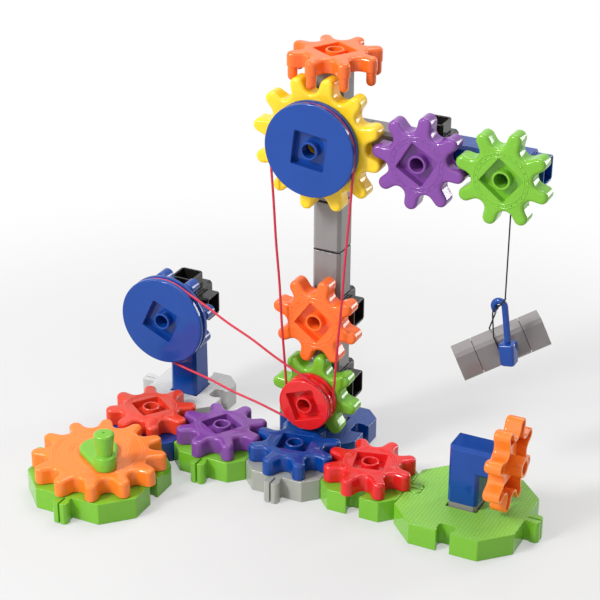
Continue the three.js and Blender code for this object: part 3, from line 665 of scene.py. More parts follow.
def finish_piece(node, name, mesh, finish, extra=()):
    """Makes the mesh a smoothed piece, joins the extra meshes to it and puts it on its node."""
    piece = smooth(new_piece(name, mesh, finish))
    others = []
    for more in extra:
        if not more.materials:
            more.materials.append(finish_named(finish))
        others.append(add_object("part", more))
    if others:
        joined = [piece, *others]
        with bpy.context.temp_override(active_object=piece, selected_editable_objects=joined):
            bpy.ops.object.join()
    return dress(piece, node)


# Geometry Nodes trees
def new_tree(name, *inputs):
    """An empty tree with those inputs and the finish, and what it is given."""
    tree = bpy.data.node_groups.new(name, "GeometryNodeTree")
    tree.is_modifier = True
    for label, kind in (("Geometry", "Geometry"), *inputs, ("Material", "Material")):
        tree.interface.new_socket(label, in_out="INPUT", socket_type="NodeSocket" + kind)
    tree.interface.new_socket("Geometry", in_out="OUTPUT", socket_type="NodeSocketGeometry")
    return tree, add_node(tree, "NodeGroupInput").outputs


def end_tree(tree, given, geometry):
    """Every tree ends by making its copies real and giving them their finish."""
    real = add_node(tree, "GeometryNodeRealizeInstances", {"Geometry": geometry})
    finished = add_node(tree, "GeometryNodeSetMaterial", {
        "Geometry": real.outputs["Geometry"], "Material": given["Material"],
    })
    add_node(tree, "NodeGroupOutput", {"Geometry": finished.outputs["Geometry"]})
    return tree


def circle_of_copies(name):
    """Copies of the input piece on a circle: pegs, marks."""
    tree, given = new_tree(
        name, ("Count", "Int"), ("Radius", "Float"), ("Height", "Float"), ("Turn", "Float"),
    )
    ring = add_node(tree, "GeometryNodeMeshCircle", {
        "Vertices": given["Count"], "Radius": given["Radius"],
    })
    lift = add_node(tree, "ShaderNodeCombineXYZ", {"Z": given["Height"]})
    turn = add_node(tree, "ShaderNodeCombineXYZ", {"Z": given["Turn"]})
    placed = add_node(tree, "GeometryNodeTransform", {
        "Geometry": ring.outputs["Mesh"], "Translation": lift.outputs["Vector"],
        "Rotation": turn.outputs["Vector"],
    })
    copies = add_node(tree, "GeometryNodeInstanceOnPoints", {
        "Points": placed.outputs["Geometry"], "Instance": given["Geometry"],
    })
    return end_tree(tree, given, copies.outputs["Instances"])


def tube_on_path(name):
    """A round tube along the input line: belts, string and rings."""
    tree, given = new_tree(name, ("Radius", "Float"), ("Sides", "Int"))
    line = add_node(tree, "GeometryNodeMeshToCurve", {"Mesh": given["Geometry"]})
    section = add_node(tree, "GeometryNodeCurvePrimitiveCircle", {
        "Radius": given["Radius"], "Resolution": given["Sides"],
    })
    swept = add_node(tree, "GeometryNodeCurveToMesh", {
        "Curve": line.outputs["Curve"], "Profile Curve": section.outputs["Curve"],
        "Fill Caps": True,
    })
    return end_tree(tree, given, swept.outputs["Mesh"])


TREES = {"circle of copies": circle_of_copies, "tube on a path": tube_on_path}


def run_tree(piece, name, values):
    """Runs the tree of that name on the piece and keeps the result as its plain mesh."""
    tree = bpy.data.node_groups.get(name) or TREES[name](name)
    modifier = piece.modifiers.new(name, "NODES")
    modifier.node_group = tree
    for item in tree.interface.items_tree:
        if item.in_out == "INPUT" and item.name in values:
            modifier[item.identifier] = values[item.name]
    return plain_mesh(piece)


def tube(name, points, radius, finish, closed=False, sides=12):
    """A tube along points in the model's frame. Points and radius are in metres."""
    mesh = bpy.data.meshes.new(name)
    edges = [(i, i + 1) for i in range(len(points) - 1)]
    if closed:
        edges.append((len(points) - 1, 0))
    mesh.from_pydata([tuple(point) for point in points], edges, [])
    piece = run_tree(add_object(name, mesh), "tube on a path", {
        "Radius": radius, "Sides": sides, "Material": finish_named(finish),
    })
    work = bmesh.new()
    work.from_mesh(piece.data)
    close_seams(work)
    work.to_mesh(piece.data)
    work.free()
    piece.data.shade_smooth()
    return piece


def copies_on_circle(name, mesh, count, radius, height, turn, finish, place):
    """Copies of the mesh on a circle about a wheel's axis, put in the wheel's place."""
    piece = run_tree(add_object(name, mesh), "circle of copies", {
        "Count": count, "Radius": radius * MM, "Height": height * MM,
        "Turn": math.radians(turn), "Material": finish_named(finish),
    })
    made = mesh_of(piece)
    made.transform(place)
    return made


# Gears, in millimetres: the slopes round a recess's mouth, a boss's top and a bore's mouth
RECESS_SLOPE = 0.3
BOSS_SLOPE = 0.4
BORE_SLOPE = 0.25
# The radii of the corners of a recess, of a plug and of the box behind a hollow gear's recess
RECESS_CORNER = 1
PLUG_CORNER = 0.6
BOX_CORNER = 1.2
# How far a face reaches in behind its rounded edge, and how high a hollow rim's edge is
FACE_RIM = 0.8
RIM_EDGE = 0.2
# The crown gear's pegs, and how far they reach up into its disc
PEG_COUNT = 8
PEG_ROOT = 0.5
# A raised line's section, in halves of its width and in heights
LINE_SECTION = ((-1, -0.2), (-0.6, 0.5), (0, 0.9), (0.6, 0.5), (1, -0.2))
MARK_PROFILE = [(0, -0.1), (0.6, -0.1), (0.5, 0.24), (0.3, 0.34), (0, 0.34)]
MARK_TURN = 11.25
CRANK_GEAR_LINES = (13.2, 16.6, 18.4, 26.6, 28.2)
COVERED = ("yellow_gear", "left_blue_gear", "green_column_gear")
MARKED = ("purple_arm_gear", "green_arm_gear", "orange_column_gear")


def front_with_recess(shell, face, top, side, turn):
    """The gear's or pulley's face: a square recess with the round boss in it, and the bore."""
    gear = settings("gear")
    floor = top - gear.recess_depth
    lip_corner = RECESS_CORNER + RECESS_SLOPE
    lip = shell.square_ring(side + 2 * RECESS_SLOPE, lip_corner, turn, top)
    mouth = shell.square_ring(side, RECESS_CORNER, turn, top - RECESS_SLOPE)
    foot = shell.square_ring(side, RECESS_CORNER, turn, floor)
    shell.cap(face, lip)
    shell.wall(lip, mouth, foot)
    boss_foot = shell.round_ring(gear.boss_radius, floor)
    shell.cap(foot, boss_foot)
    boss_edge = shell.round_ring(gear.boss_radius, top - BOSS_SLOPE)
    boss_top = shell.round_ring(gear.boss_radius - BOSS_SLOPE, top)
    bore_top = shell.round_ring(gear.bore_radius + BORE_SLOPE, top)
    bore = shell.round_ring(gear.bore_radius, top - BORE_SLOPE)
    shell.wall(boss_foot, boss_edge, boss_top, bore_top, bore)
    return bore


def square_plug(shell, back, side, turn):
    """The square plug behind a wheel, hollow to go over a boss. Gives the hollow's last ring."""
    gear = settings("gear")
    depth = SEAT_GAP - gear.recess_depth
    clear = gear.boss_radius + SEAT_GAP
    root = shell.square_ring(side, PLUG_CORNER, turn - 45, 0)
    foot = shell.square_ring(side, PLUG_CORNER, turn - 45, depth)
    hollow_foot = shell.round_ring(clear, depth)
    hollow_top = shell.round_ring(clear, 0)
    shell.cap(back, root)
    shell.wall(root, foot)
    shell.cap(foot, hollow_foot)
    shell.wall(hollow_foot, hollow_top)
    return hollow_top


def raised_line(radius, top, place):
    """A fine raised line round the face."""
    gear = settings("gear")
    shell = Shell()
    rings = [
        shell.round_ring(radius + reach * gear.ring_width / 2, top + rise * gear.ring_height, 72)
        for reach, rise in LINE_SECTION
    ]
    shell.wall(*rings, rings[0])
    return shell.mesh("line", place)


def face_lines(node, back):
    """Radii of the raised lines on a gear's face. A pulley covers three of the faces."""
    gear = settings("gear")
    if node in COVERED:
        return ()
    if node == "crank_gear":
        return CRANK_GEAR_LINES
    if back == "hollow":
        return (gear.inner_ring, gear.outer_ring)
    return (gear.inner_ring, (gear.inner_ring + gear.outer_ring) / 2, gear.outer_ring)


def face_trim(node, finish, place, back):
    """The raised lines and marks on a gear's face."""
    gear = settings("gear")
    trim = [raised_line(radius, gear.thickness, place) for radius in face_lines(node, back)]
    if node in MARKED:
        mark = Shell()
        mark.lathe(MARK_PROFILE, 10)
        trim.append(copies_on_circle(
            node + "_marks", mark.mesh("mark", Matrix.Identity(4)), gear.mark_count,
            (gear.inner_ring + gear.outer_ring) / 2, gear.thickness, MARK_TURN, finish, place,
        ))
    return trim


def crown_pegs(node, finish, place):
    """The round-ended pegs that hang from the crown gear's rim."""
    gear = settings("gear")
    foot = gear.peg_radius
    angles = [math.pi / 2 * i / 6 for i in range(1, 7)]
    end = [(foot * math.sin(a), -foot * math.cos(a) - (gear.peg_reach - foot)) for a in angles]
    peg = Shell()
    peg.lathe([(0, -gear.peg_reach), *end, (foot, PEG_ROOT), (0, PEG_ROOT)], 24)
    mesh = peg.mesh("peg", Matrix.Identity(4))
    circle_radius = gear.peg_circle
    return copies_on_circle(node + "_pegs", mesh, PEG_COUNT, circle_radius, 0, 0, finish, place)


def gear_piece(node, finish, teeth, place, back):
    """A gear with its face, its bore and its back: hollow, flat or with the crown's spigot."""
    gear = settings("gear")
    crown = back == "crown"
    thickness = gear.crown_thickness if crown else gear.thickness
    side = gear.crank_recess_side if node == "crank_gear" else gear.recess_side
    corner = recess_turn(0, teeth) - 45
    shell = Shell()
    shrink = gear.crown_inset if crown else 0
    low = reversed(rounded_edge(gear.back_rounding, gear.back_rounding, 2))
    levels = [(inset, gear.back_rounding - rise) for inset, rise in low]
    levels += rounded_edge(gear.rounding, thickness, 5)
    levels.append((gear.rounding + FACE_RIM, thickness))
    rings = [shell.ring(gear_outline(teeth, inset + shrink), z) for inset, z in levels]
    shell.wall(*rings)
    bore = front_with_recess(shell, rings[-1], thickness, side, corner)
    if crown:
        seat = -gear.shoulder_height
        steps = [(gear.shoulder_radius, 0), (gear.shoulder_radius, seat),
                 (gear.spigot_radius, seat), (gear.spigot_radius, seat - gear.journal_reach)]
    else:
        steps = [(gear.journal_radius, 0), (gear.journal_radius, -gear.journal_reach)]
    mouth = rings[0]
    if back == "hollow":
        web = thickness - gear.recess_depth - gear.web
        steps[0] = (gear.journal_radius, web)
        lip = shell.ring(gear_outline(teeth, gear.wall), RIM_EDGE)
        roof = shell.ring(gear_outline(teeth, gear.wall), thickness - gear.roof)
        box_side = side + 2 * gear.wall
        box_root = shell.square_ring(box_side, BOX_CORNER, corner, thickness - gear.roof)
        mouth = shell.square_ring(box_side, BOX_CORNER, corner, web)
        shell.wall(rings[0], lip, roof)
        shell.cap(roof, box_root)
        shell.wall(box_root, mouth)
    feet = [shell.round_ring(radius, z) for radius, z in steps]
    shell.cap(mouth, feet[0])
    bore_end = shell.round_ring(gear.bore_radius, steps[-1][1])
    shell.wall(*feet, bore_end, bore)
    if crown:
        extra = [crown_pegs(node, finish, place)]
    else:
        extra = face_trim(node, finish, place, back)
    for mesh in extra:
        shade(mesh, 50)
    return finish_piece(node, node + "_body", shell.mesh(node, place), finish, extra)


class CRANE_OT_gears(Operator):
    """Make the gears on the plates, on the column and on the arm"""

    bl_idname = "crane.gears"
    bl_label = "Gears"

    def execute(self, context):
        for node, finish, teeth, x, y, turn in (
            ("crank_gear", "orange", 12, 0, -LARGE_STEP, CRANK_TURN),
            ("tomato_gear", "tomato", 8, 0, 0, TOMATO_TURN),
            ("purple_ground_gear", "purple", 8, PITCH, 0, PURPLE_TURN),
            ("blue_ground_gear", "blue", 8, COLUMN_X, 0, BLUE_TURN),
            ("red_ground_gear", "red", 8, 3 * PITCH, 0, RED_TURN),
        ):
            gear_piece(node, finish, teeth, facing("up", x, y, GEAR_FLOOR, turn), "flat")
        for node, finish, teeth, x, z, turn in (
            ("green_column_gear", "green", 8, COLUMN_X, LOWER_Z, COLUMN_GREEN_TURN),
            # The column gear takes the orange with painted shade
            ("orange_column_gear", "deep_orange", 8, COLUMN_X, MIDDLE_Z, COLUMN_ORANGE_TURN),
            ("yellow_gear", "yellow", 12, COLUMN_X, UPPER_Z, YELLOW_TURN),
            ("purple_arm_gear", "purple", 8, ARM_AXLE_X, UPPER_Z, ARM_PURPLE_TURN),
            ("green_arm_gear", "green", 8, RIGHT_X, UPPER_Z, ARM_GREEN_TURN),
            ("left_blue_gear", "blue", 8, 0, LEFT_Z, LEFT_BLUE_TURN),
        ):
            gear_piece(node, finish, teeth, facing("front", x, GEAR_BACK_Y, z, turn), "hollow")
        place = facing("left", RIGHT_GEAR_X, 0, ELBOW_Z, RIGHT_ORANGE_TURN)
        gear_piece("right_orange_gear", "orange", 8, place, "hollow")
        return {"FINISHED"}


class CRANE_OT_crown_gear(Operator):
    """Make the crown gear with its pegs on top of the column"""

    bl_idname = "crane.crown_gear"
    bl_label = "Crown gear"

    def execute(self, context):
        place = facing("up", COLUMN_X, PITCH, CROWN_Z, CROWN_TURN)
        # The crown gear takes the orange with painted shade
        gear_piece("crown_gear", "deep_orange", 8, place, "crown")
        return {"FINISHED"}


# Pulleys and belts: the depth and width of a groove's first slope in millimetres, and how far a
# belt's slight waves go in metres
GROOVE_SLOPE = (0.4, 0.15)
SWAY = 0.0003


def pulley_piece(node, finish, radius, thickness, grooves, recess, front_turn, plug_turn, place):
    """A grooved pulley with its recess in front and the square plug behind."""
    gear = settings("gear")
    pulley = settings("pulley")
    edge = pulley.edge
    slope_depth, slope_width = GROOVE_SLOPE
    foot = ((0, 0), (edge * 0.7, edge * 0.3), (edge, edge))
    profile = [(radius - edge + out, z) for out, z in foot]
    for middle in grooves:
        for sign in (-1, 1):
            mouth = middle + sign * (pulley.groove_width / 2)
            side = [
                (radius, mouth),
                (radius - slope_depth, mouth - sign * slope_width),
                (radius - pulley.groove_depth, middle + sign * (pulley.groove_floor / 2)),
            ]
            profile += side[::-sign]
    profile += [(radius - inset, z) for inset, z in rounded_edge(edge, thickness)]
    profile.append((radius - edge - FACE_RIM, thickness))
    shell = Shell()
    rings = [shell.round_ring(reach, z, 96) for reach, z in profile]
    shell.wall(*rings)
    bore = front_with_recess(shell, rings[-1], thickness, recess, front_turn - 45)
    hollow_top = square_plug(shell, rings[0], pulley.plug_side, plug_turn)
    bore_end = shell.round_ring(gear.bore_radius, 0)
    shell.wall(hollow_top, bore_end, bore)
    return finish_piece(node, node + "_body", shell.mesh(node, place), finish)


class CRANE_OT_pulleys(Operator):
    """Make the two blue pulleys and the red one"""

    bl_idname = "crane.pulleys"
    bl_label = "Pulleys"

    def execute(self, context):
        pulley = settings("pulley")
        back = GEAR_FACE_Y - SEAT_GAP
        rear = pulley.thickness / 2
        large = (pulley.radius, pulley.thickness, [rear], pulley.recess_side)
        small = (pulley.small_radius, pulley.small_thickness, [rear, pulley.front_groove],
                 settings("gear").recess_side)
        yellow = recess_turn(YELLOW_TURN, 12)
        blue = recess_turn(LEFT_BLUE_TURN, 8)
        green = recess_turn(COLUMN_GREEN_TURN, 8)
        for node, finish, shape, turn, plug_turn, x, z in (
            ("top_pulley", "blue", large, TOP_PULLEY_TURN, yellow, COLUMN_X, UPPER_Z),
            ("left_pulley", "blue", large, LEFT_PULLEY_TURN, blue, 0, LEFT_Z),
            ("red_pulley", "red", small, RED_PULLEY_TURN, green, COLUMN_X, LOWER_Z),
        ):
            pulley_piece(node, finish, *shape, turn, plug_turn, facing("front", x, back, z, 0))
        return {"FINISHED"}


def belt_route(wheel_a, wheel_b):
    """Points round two pulleys and along the runs between them. A wheel is x, y, z, radius."""
    run_x, run_z = wheel_b[0] - wheel_a[0], wheel_b[2] - wheel_a[2]
    base = math.atan2(run_z, run_x)
    spread = math.acos((wheel_a[3] - wheel_b[3]) / math.hypot(run_x, run_z))
    points = []
    for wheel, start, end in (
        (wheel_a, base + spread, base + 2 * math.pi - spread),
        (wheel_b, base - spread, base + spread),
    ):
        x, y, z, radius = wheel
        wrap = [grid(along, y, height) for along, height in arc(x, z, radius, start, end, 40)]
        if points:
            points += straight(points[-1], wrap[0])
        points += wrap
    return points + straight(points[-1], points[0])


def straight(start, end, steps=20):
    """Points between two ends, with the slight waves of a band that is stretched by hand."""
    points = []
    for i in range(1, steps):
        share = i / steps
        point = start.lerp(end, share)
        sway = SWAY * math.sin(math.pi * share) * math.sin(17 * share + 40 * start.x)
        points.append(point + Vector((0.6 * sway, 0, sway)))
    return points


class CRANE_OT_belts(Operator):
    """Make the two rubber belts"""

    bl_idname = "crane.belts"
    bl_label = "Belts"

    def execute(self, context):
        pulley = settings("pulley")
        depth = pulley.groove_depth - pulley.belt_gap - pulley.belt_radius
        rear = GEAR_FACE_Y - SEAT_GAP - pulley.thickness / 2
        front = GEAR_FACE_Y - SEAT_GAP - pulley.front_groove
        top = (COLUMN_X, rear, UPPER_Z, pulley.radius - depth)
        left = (0, rear, LEFT_Z, pulley.radius - depth)
        small = pulley.small_radius - depth
        thick = pulley.belt_radius * MM
        for node, wheel, y in (("long_belt", top, rear), ("side_belt", left, front)):
            route = belt_route(wheel, (COLUMN_X, y, LOWER_Z, small))
            dress(tube(node + "_band", route, thick, "belt", closed=True), node)
        return {"FINISHED"}


# Plates, pillars, couplers and axles, each with its finish
SMOOTH_PLATES = {
    "plate_crank": "green", "plate_tomato": "blue", "plate_purple": "green",
    "plate_blue": "stone", "plate_red": "green",
}
RIBBED_PLATES = {"plate_elbow": "green", "plate_left_column": "pale_grey", "plate_column": "blue"}
GREY_BARS = (
    "column_pillar_lower", "column_pillar_middle", "column_stack_pillar_1",
    "column_stack_pillar_2", "column_stack_pillar_3", "column_pillar_top",
    "arm_coupler", "arm_pillar", "elbow_coupler",
)
SLATE_BARS = ("weight_pillar", "weight_cap_left", "weight_cap_right")
BLUE_BARS = ("left_pillar", "arm_end_beam", "elbow")
AXLES = (
    "column_axle_lower", "column_axle_middle", "column_axle_upper", "left_axle", "arm_axle",
    "column_link_1", "column_link_2",
)


def soft_edged(pieces, edge, ribbed=False):
    """The nodes' own forms with their facets joined and their edges rounded."""
    for node, finish in pieces.items():
        piece = new_piece(node + "_body", joined_facets(node), finish)
        round_off = piece.modifiers.new("edges", "BEVEL")
        round_off.width = edge * MM
        round_off.segments = 3
        round_off.limit_method = "ANGLE"
        round_off.angle_limit = math.radians(40)
        round_off.use_clamp_overlap = True
        smooth(plain_mesh(piece))
        if ribbed:
            rib_top(piece.data, finish)
        dress(piece, node)


def joined_facets(node):
    """A copy of the node's mesh with its doubles merged and its flat faces whole."""
    mesh = frame["nodes"][node].data.copy()
    mesh.materials.clear()
    work = bmesh.new()
    work.from_mesh(mesh)
    bmesh.ops.remove_doubles(work, verts=work.verts, dist=SAME_CAD_POINT)
    flat = math.radians(1)
    bmesh.ops.dissolve_limit(work, angle_limit=flat, verts=work.verts, edges=work.edges)
    work.to_mesh(mesh)
    work.free()
    return mesh


def rib_top(mesh, finish):
    """The ribbed finish, with its painted light and painted shade, on the faces that lie flat at
    the very top.
    """
    mesh.materials.append(finish_named(finish + RIBBED))
    top = max(vertex.co.z for vertex in mesh.vertices) - 0.05 * MM
    for face in mesh.polygons:
        if face.normal.z > 0.999 and face.center.z > top:
            face.material_index = 1


class CRANE_OT_plates(Operator):
    """Make the eight plates with their clips and slots"""

    bl_idname = "crane.plates"
    bl_label = "Plates"

    def execute(self, context):
        soft_edged(SMOOTH_PLATES, settings("bar").plate_edge)
        soft_edged(RIBBED_PLATES, settings("bar").plate_edge, ribbed=True)
        return {"FINISHED"}


class CRANE_OT_bars(Operator):
    """Make the pillars, the couplers, the arm's beam and the elbow"""

    bl_idname = "crane.bars"
    bl_label = "Bars"

    def execute(self, context):
        edge = settings("bar").bar_edge
        for nodes, finish in ((GREY_BARS, "grey"), (SLATE_BARS, "slate"), (BLUE_BARS, "blue")):
            soft_edged(dict.fromkeys(nodes, finish), edge)
        return {"FINISHED"}


class CRANE_OT_axles(Operator):
    """Make the black six-way axles and the links between the upper pillars"""

    bl_idname = "crane.axles"
    bl_label = "Axles"

    def execute(self, context):
        soft_edged(dict.fromkeys(AXLES, "black"), settings("bar").axle_edge)
        return {"FINISHED"}


# The crank's plug, its arm's lower edge, and the radius and depth of the dot in its knob
CRANK_PLUG_SIDE = 14.4
ARM_FOOT_EDGE = 0.4
DOT_RADIUS = 0.9
DOT_DEPTH = 0.7


def arm_outline(crank, inset):
    """The crank arm's outline: its round hub and its round end, with straight sides between."""
    hub = crank.hub_radius - inset
    end = crank.collar_radius - inset
    lean = math.acos((hub - end) / crank.throw)
    return arc(0, 0, hub, lean, 2 * math.pi - lean, 40) + arc(crank.throw, 0, end, -lean, lean, 20)


def knob_profile(crank):
    """The collar, the knob that widens upwards, and the small dot sunk into its top."""
    radius, height, top = crank.collar_radius, crank.collar_height, crank.knob_height
    collar = [(0, 1), (radius, 1), (radius, height - 0.9), (radius - 0.3, height - 0.3),
              (radius - 0.9, height)]
    neck = [(crank.knob_foot + 0.3, height), (crank.knob_foot, height + 0.4)]
    dome = [(crank.knob_top - inset, z) for inset, z in rounded_edge(crank.knob_dome, top, 5)]
    dot = [(DOT_RADIUS, top), (0.7, top - DOT_DEPTH), (0, top - DOT_DEPTH)]
    return [*collar, *neck, *dome, *dot]


class CRANE_OT_crank(Operator):
    """Make the crank handle"""

    bl_idname = "crane.crank"
    bl_label = "Crank handle"

    def execute(self, context):
        crank = settings("crank")
        seat = GEAR_FLOOR + settings("gear").thickness + SEAT_GAP
        place = facing("up", 0, -LARGE_STEP, seat, CRANK_AIM)
        levels = [(ARM_FOOT_EDGE, 0), (0, ARM_FOOT_EDGE)]
        levels += rounded_edge(crank.rounding, crank.arm_thickness)
        levels.append((crank.rounding + FACE_RIM, crank.arm_thickness))
        arm = Shell()
        rings = [arm.ring(arm_outline(crank, inset), z) for inset, z in levels]
        arm.wall(*rings)
        arm.cap(rings[-1])
        plug_turn = recess_turn(CRANK_TURN, 12) - CRANK_AIM
        arm.cap(square_plug(arm, rings[0], CRANK_PLUG_SIDE, plug_turn))
        knob = Shell()
        knob.lathe(knob_profile(crank), 48, x=crank.throw)
        top = knob.mesh("knob", place)
        shade(top, 40)
        body = arm.mesh("crank_handle", place)
        finish_piece("crank_handle", "crank_handle_arm", body, "green", [top])
        return {"FINISHED"}


# The hanging load, in millimetres and degrees
HOOK_X = 218.3
HOOK_Z = 126.4
KNOT_ANGLE = 50
SLING_ANGLE = 205
BEAM_PLUG_SIDE = 15.4
WEIGHT_SIDE = 18.4
WEIGHT_MIDDLE = (212.8, 52, 93.8)
WEIGHT_HEADING = 33
WEIGHT_PITCH = -22.8
WEIGHT_ROLL = -7.4
SLING_X = -2.2
# Edges and corners of the hook's block at its foot and top, and the corners that a cord goes round
BLOCK_FOOT_EDGE, BLOCK_FOOT_CORNER = 0.8, 1.6
BLOCK_TOP_EDGE, BLOCK_TOP_CORNER = 1.2, 1.8
LOOP_CORNER, SLING_CORNER = 1.6, 2.4
CORD_STEPS = 6
EYE_SLACK = 0.1


def hook_place():
    lean = Matrix.Rotation(-settings("load").tilt, 4, "Y")
    return Matrix.Translation(grid(HOOK_X, STRING_Y, HOOK_Z)) @ lean


def load_place():
    """Where the weight hangs, with its length along its own X."""
    turn = turned(WEIGHT_HEADING, "Z") @ turned(WEIGHT_PITCH, "Y")
    return Matrix.Translation(grid(*WEIGHT_MIDDLE)) @ turn @ turned(WEIGHT_ROLL, "X")


def curl_point(radius, degrees, sideways):
    """A point of the hook's curl, in the model's frame."""
    curl = settings("load").curl_radius
    angle = math.radians(degrees)
    point = Vector((radius * math.cos(angle) - curl, sideways, radius * math.sin(angle)))
    return hook_place() @ (point * MM)


def string_clearance():
    """How far both sides of a string that goes round something stand outside it."""
    load = settings("load")
    return 2 * (load.string_gap + load.string_radius)


def eye_radius():
    load = settings("load")
    return load.rod_radius + load.string_gap + load.string_radius + EYE_SLACK


def string_line():
    """The string's straight run from the loop on the beam's plug down to its eye on the hook."""
    load = settings("load")
    eye = curl_point(load.curl_radius, KNOT_ANGLE, 0)
    outward = (curl_point(load.curl_radius + load.rod_radius, KNOT_ANGLE, 0) - eye).normalized()
    foot = eye + outward * eye_radius() * MM
    top = Vector((foot.x, foot.y, (UPPER_Z - BEAM_PLUG_SIDE / 2 - string_clearance()) * MM))
    return [top.lerp(foot, i / 24) for i in range(25)], eye, outward


def sling_line():
    """The sling's way over the hook's open end, down both sides of the weight and under it."""
    load = settings("load")
    over = []
    for i in range(13):
        angle = math.pi * i / 12
        height = load.curl_radius - eye_radius() * math.sin(angle)
        over.append(curl_point(height, SLING_ANGLE, eye_radius() * math.cos(angle)))
    lower = Vector((0, 0, load.curl_radius * MM))
    square = rounded_square(WEIGHT_SIDE + string_clearance(), SLING_CORNER, steps=CORD_STEPS)
    under = [load_place() @ (Vector((SLING_X, x, y)) * MM) for x, y in square]
    corner = CORD_STEPS + 1
    return [over[0] - lower, *over, over[-1] - lower, *under[corner:], *under[:corner]]


class CRANE_OT_hook(Operator):
    """Make the blue hook"""

    bl_idname = "crane.hook"
    bl_label = "Hook"

    def execute(self, context):
        load = settings("load")
        place = hook_place()
        stem = (load.stem_length + 1) * MM
        path = [place @ Vector((0, 0, -stem * (1 - i / 8))) for i in range(8)]
        sweep = math.degrees(load.curl_sweep)
        path += [curl_point(load.curl_radius, sweep * i / 28, 0) for i in range(29)]
        rod = mesh_of(tube("hook_rod", path, load.rod_radius * MM, "blue", sides=20))
        shade(rod, 50)
        top = -load.stem_length
        foot = top - load.block_height
        lower = [(BLOCK_FOOT_EDGE, foot), (0, foot + BLOCK_FOOT_EDGE)]
        block = Shell()
        rings = [
            block.square_ring(side - 2 * inset, corner - inset / 2, 0, z)
            for side, corner, levels in (
                (load.block_foot, BLOCK_FOOT_CORNER, lower),
                (load.block_top, BLOCK_TOP_CORNER, rounded_edge(BLOCK_TOP_EDGE, top)),
            )
            for inset, z in levels
        ]
        block.wall(*rings)
        block.cap(rings[0])
        block.cap(rings[-1])
        finish_piece("hook", "hook_block", block.mesh("hook_block", place), "blue", [rod])
        return {"FINISHED"}


class CRANE_OT_string(Operator):
    """Make the string, its loop round the beam's plug and the sling under the weight"""

    bl_idname = "crane.string"
    bl_label = "String and sling"

    def execute(self, context):
        thick = settings("load").string_radius * MM
        line, eye, outward = string_line()
        string = dress(tube("string_run", line, thick, "string"), "string")
        ring = []
        for x, y in circle(eye_radius(), 24):
            ring.append(eye + outward * x * MM + Vector((0, y * MM, 0)))
        side = BEAM_PLUG_SIDE + string_clearance()
        square = rounded_square(side, LOOP_CORNER, steps=CORD_STEPS)
        loop = [grid(RIGHT_X + x, STRING_Y, UPPER_Z + z) for x, z in square]
        for name, node, points in (
            ("string_eye", "string", ring),
            ("plug_loop", "string_loop", loop),
            ("weight_sling", "sling", sling_line()),
        ):
            dress(tube(name, points, thick, "string", closed=True), node)
        (line[0] - line[-1]).length
        return {"FINISHED"}


# The stage, in metres. A light is its name, power, width, height, place and aim.
FLOOR_REACH = 6.0
WHITE = (1, 1, 1, 1)
LIGHTS = (
    ("front_left", "key_power", 0.27, 0.49, (-0.62, -1, 1.13), (0, 0, 0.1)),
    ("far_left", "left_power", 0.11, 0.95, (-1.05, -0.92, 0.89), (0, 0, 0.1)),
    ("front", "fill_power", 1.6, 1.35, (0.13, -1.75, 1.2), (0, 0, 0.1)),
    ("back_right", "back_power", 0.16, 0.8, (0.65, 0.95, 0.4), (0, 0, 0.12)),
    ("overhead", "top_power", 1.05, 0.9, (0, 0.65, 1.5), (0, 0, 0)),
)

# The photograph's viewpoint, in degrees, pixels and millimetres
AZIMUTH, ELEVATION, ROLL = 25.09, 29.45, 0.71
FRAME_PIXELS = 600
FOCAL_PIXELS = 1894.3
AXIS_X, AXIS_Y = 323.9, 411.9
AIMED_AT = (120, 30, 110)
ASIDE, ABOVE, DISTANCE = -11.7, -64.78, 1139.6
SENSOR_WIDTH = 36


def soft_light(name, width, height, power, place, aim):
    lamp = bpy.data.lights.new(name, "AREA")
    lamp.shape = "RECTANGLE"
    lamp.size = width
    lamp.size_y = height
    lamp.energy = power
    holder = add_object(name, lamp)
    holder.location = place
    holder.rotation_euler = (Vector(aim) - Vector(place)).to_track_quat("-Z", "Y").to_euler()


def shown(tree, share, lit, white):
    """The lit shader, and for rays of the camera, of gloss and of glass the white one by a share.

    Without a share, those rays see the white one alone.
    """
    path = add_node(tree, "ShaderNodeLightPath").outputs
    seen = path["Is Camera Ray"]
    for kind in ("Is Glossy Ray", "Is Transmission Ray"):
        seen = combined(tree, "MAXIMUM", seen, path[kind])
    if share is not None:
        seen = combined(tree, "MULTIPLY", share, seen)
    mix = add_node(tree, "ShaderNodeMixShader", {"Fac": seen, 1: lit, 2: white})
    return {"Surface": mix.outputs["Shader"]}


def pale_floor(stage):
    """A pale floor with its shadows near the toy, which turns white for the camera further out."""
    material, tree, place = new_material("pale_floor")
    shader = add_node(tree, "ShaderNodeBsdfPrincipled", {
        "Base Color": (*stage.floor, 1),
        "Roughness": uneven(tree, place, scale=8, low=0.7, high=0.8),
        "Specular IOR Level": 0.2,
    })
    away = add_node(tree, "ShaderNodeVectorMath", {0: place}, operation="LENGTH")
    fade = remapped(tree, away.outputs["Value"], stage.fade_start * MM, stage.fade_end * MM,
                    stage.floor_lift, steps="SMOOTHSTEP")
    glow = remapped(tree, fade, stage.floor_lift, 1, stage.floor_glow)
    white = add_node(tree, "ShaderNodeEmission", {"Strength": glow})
    surface = shown(tree, fade, shader.outputs["BSDF"], white.outputs["Emission"])
    add_node(tree, "ShaderNodeOutputMaterial", surface)
    return material


def plain_world(stage):
    """Plain surroundings that are white where they are looked at, and light the toy softly."""
    world = bpy.data.worlds.new("studio")
    world.use_nodes = True
    tree = world.node_tree
    tree.nodes.clear()
    lit, white = (
        add_node(tree, "ShaderNodeBackground", {"Color": WHITE, "Strength": strength})
        for strength in (stage.world_strength, 1)
    )
    surface = shown(tree, None, lit.outputs["Background"], white.outputs["Background"])
    add_node(tree, "ShaderNodeOutputWorld", surface)
    return world


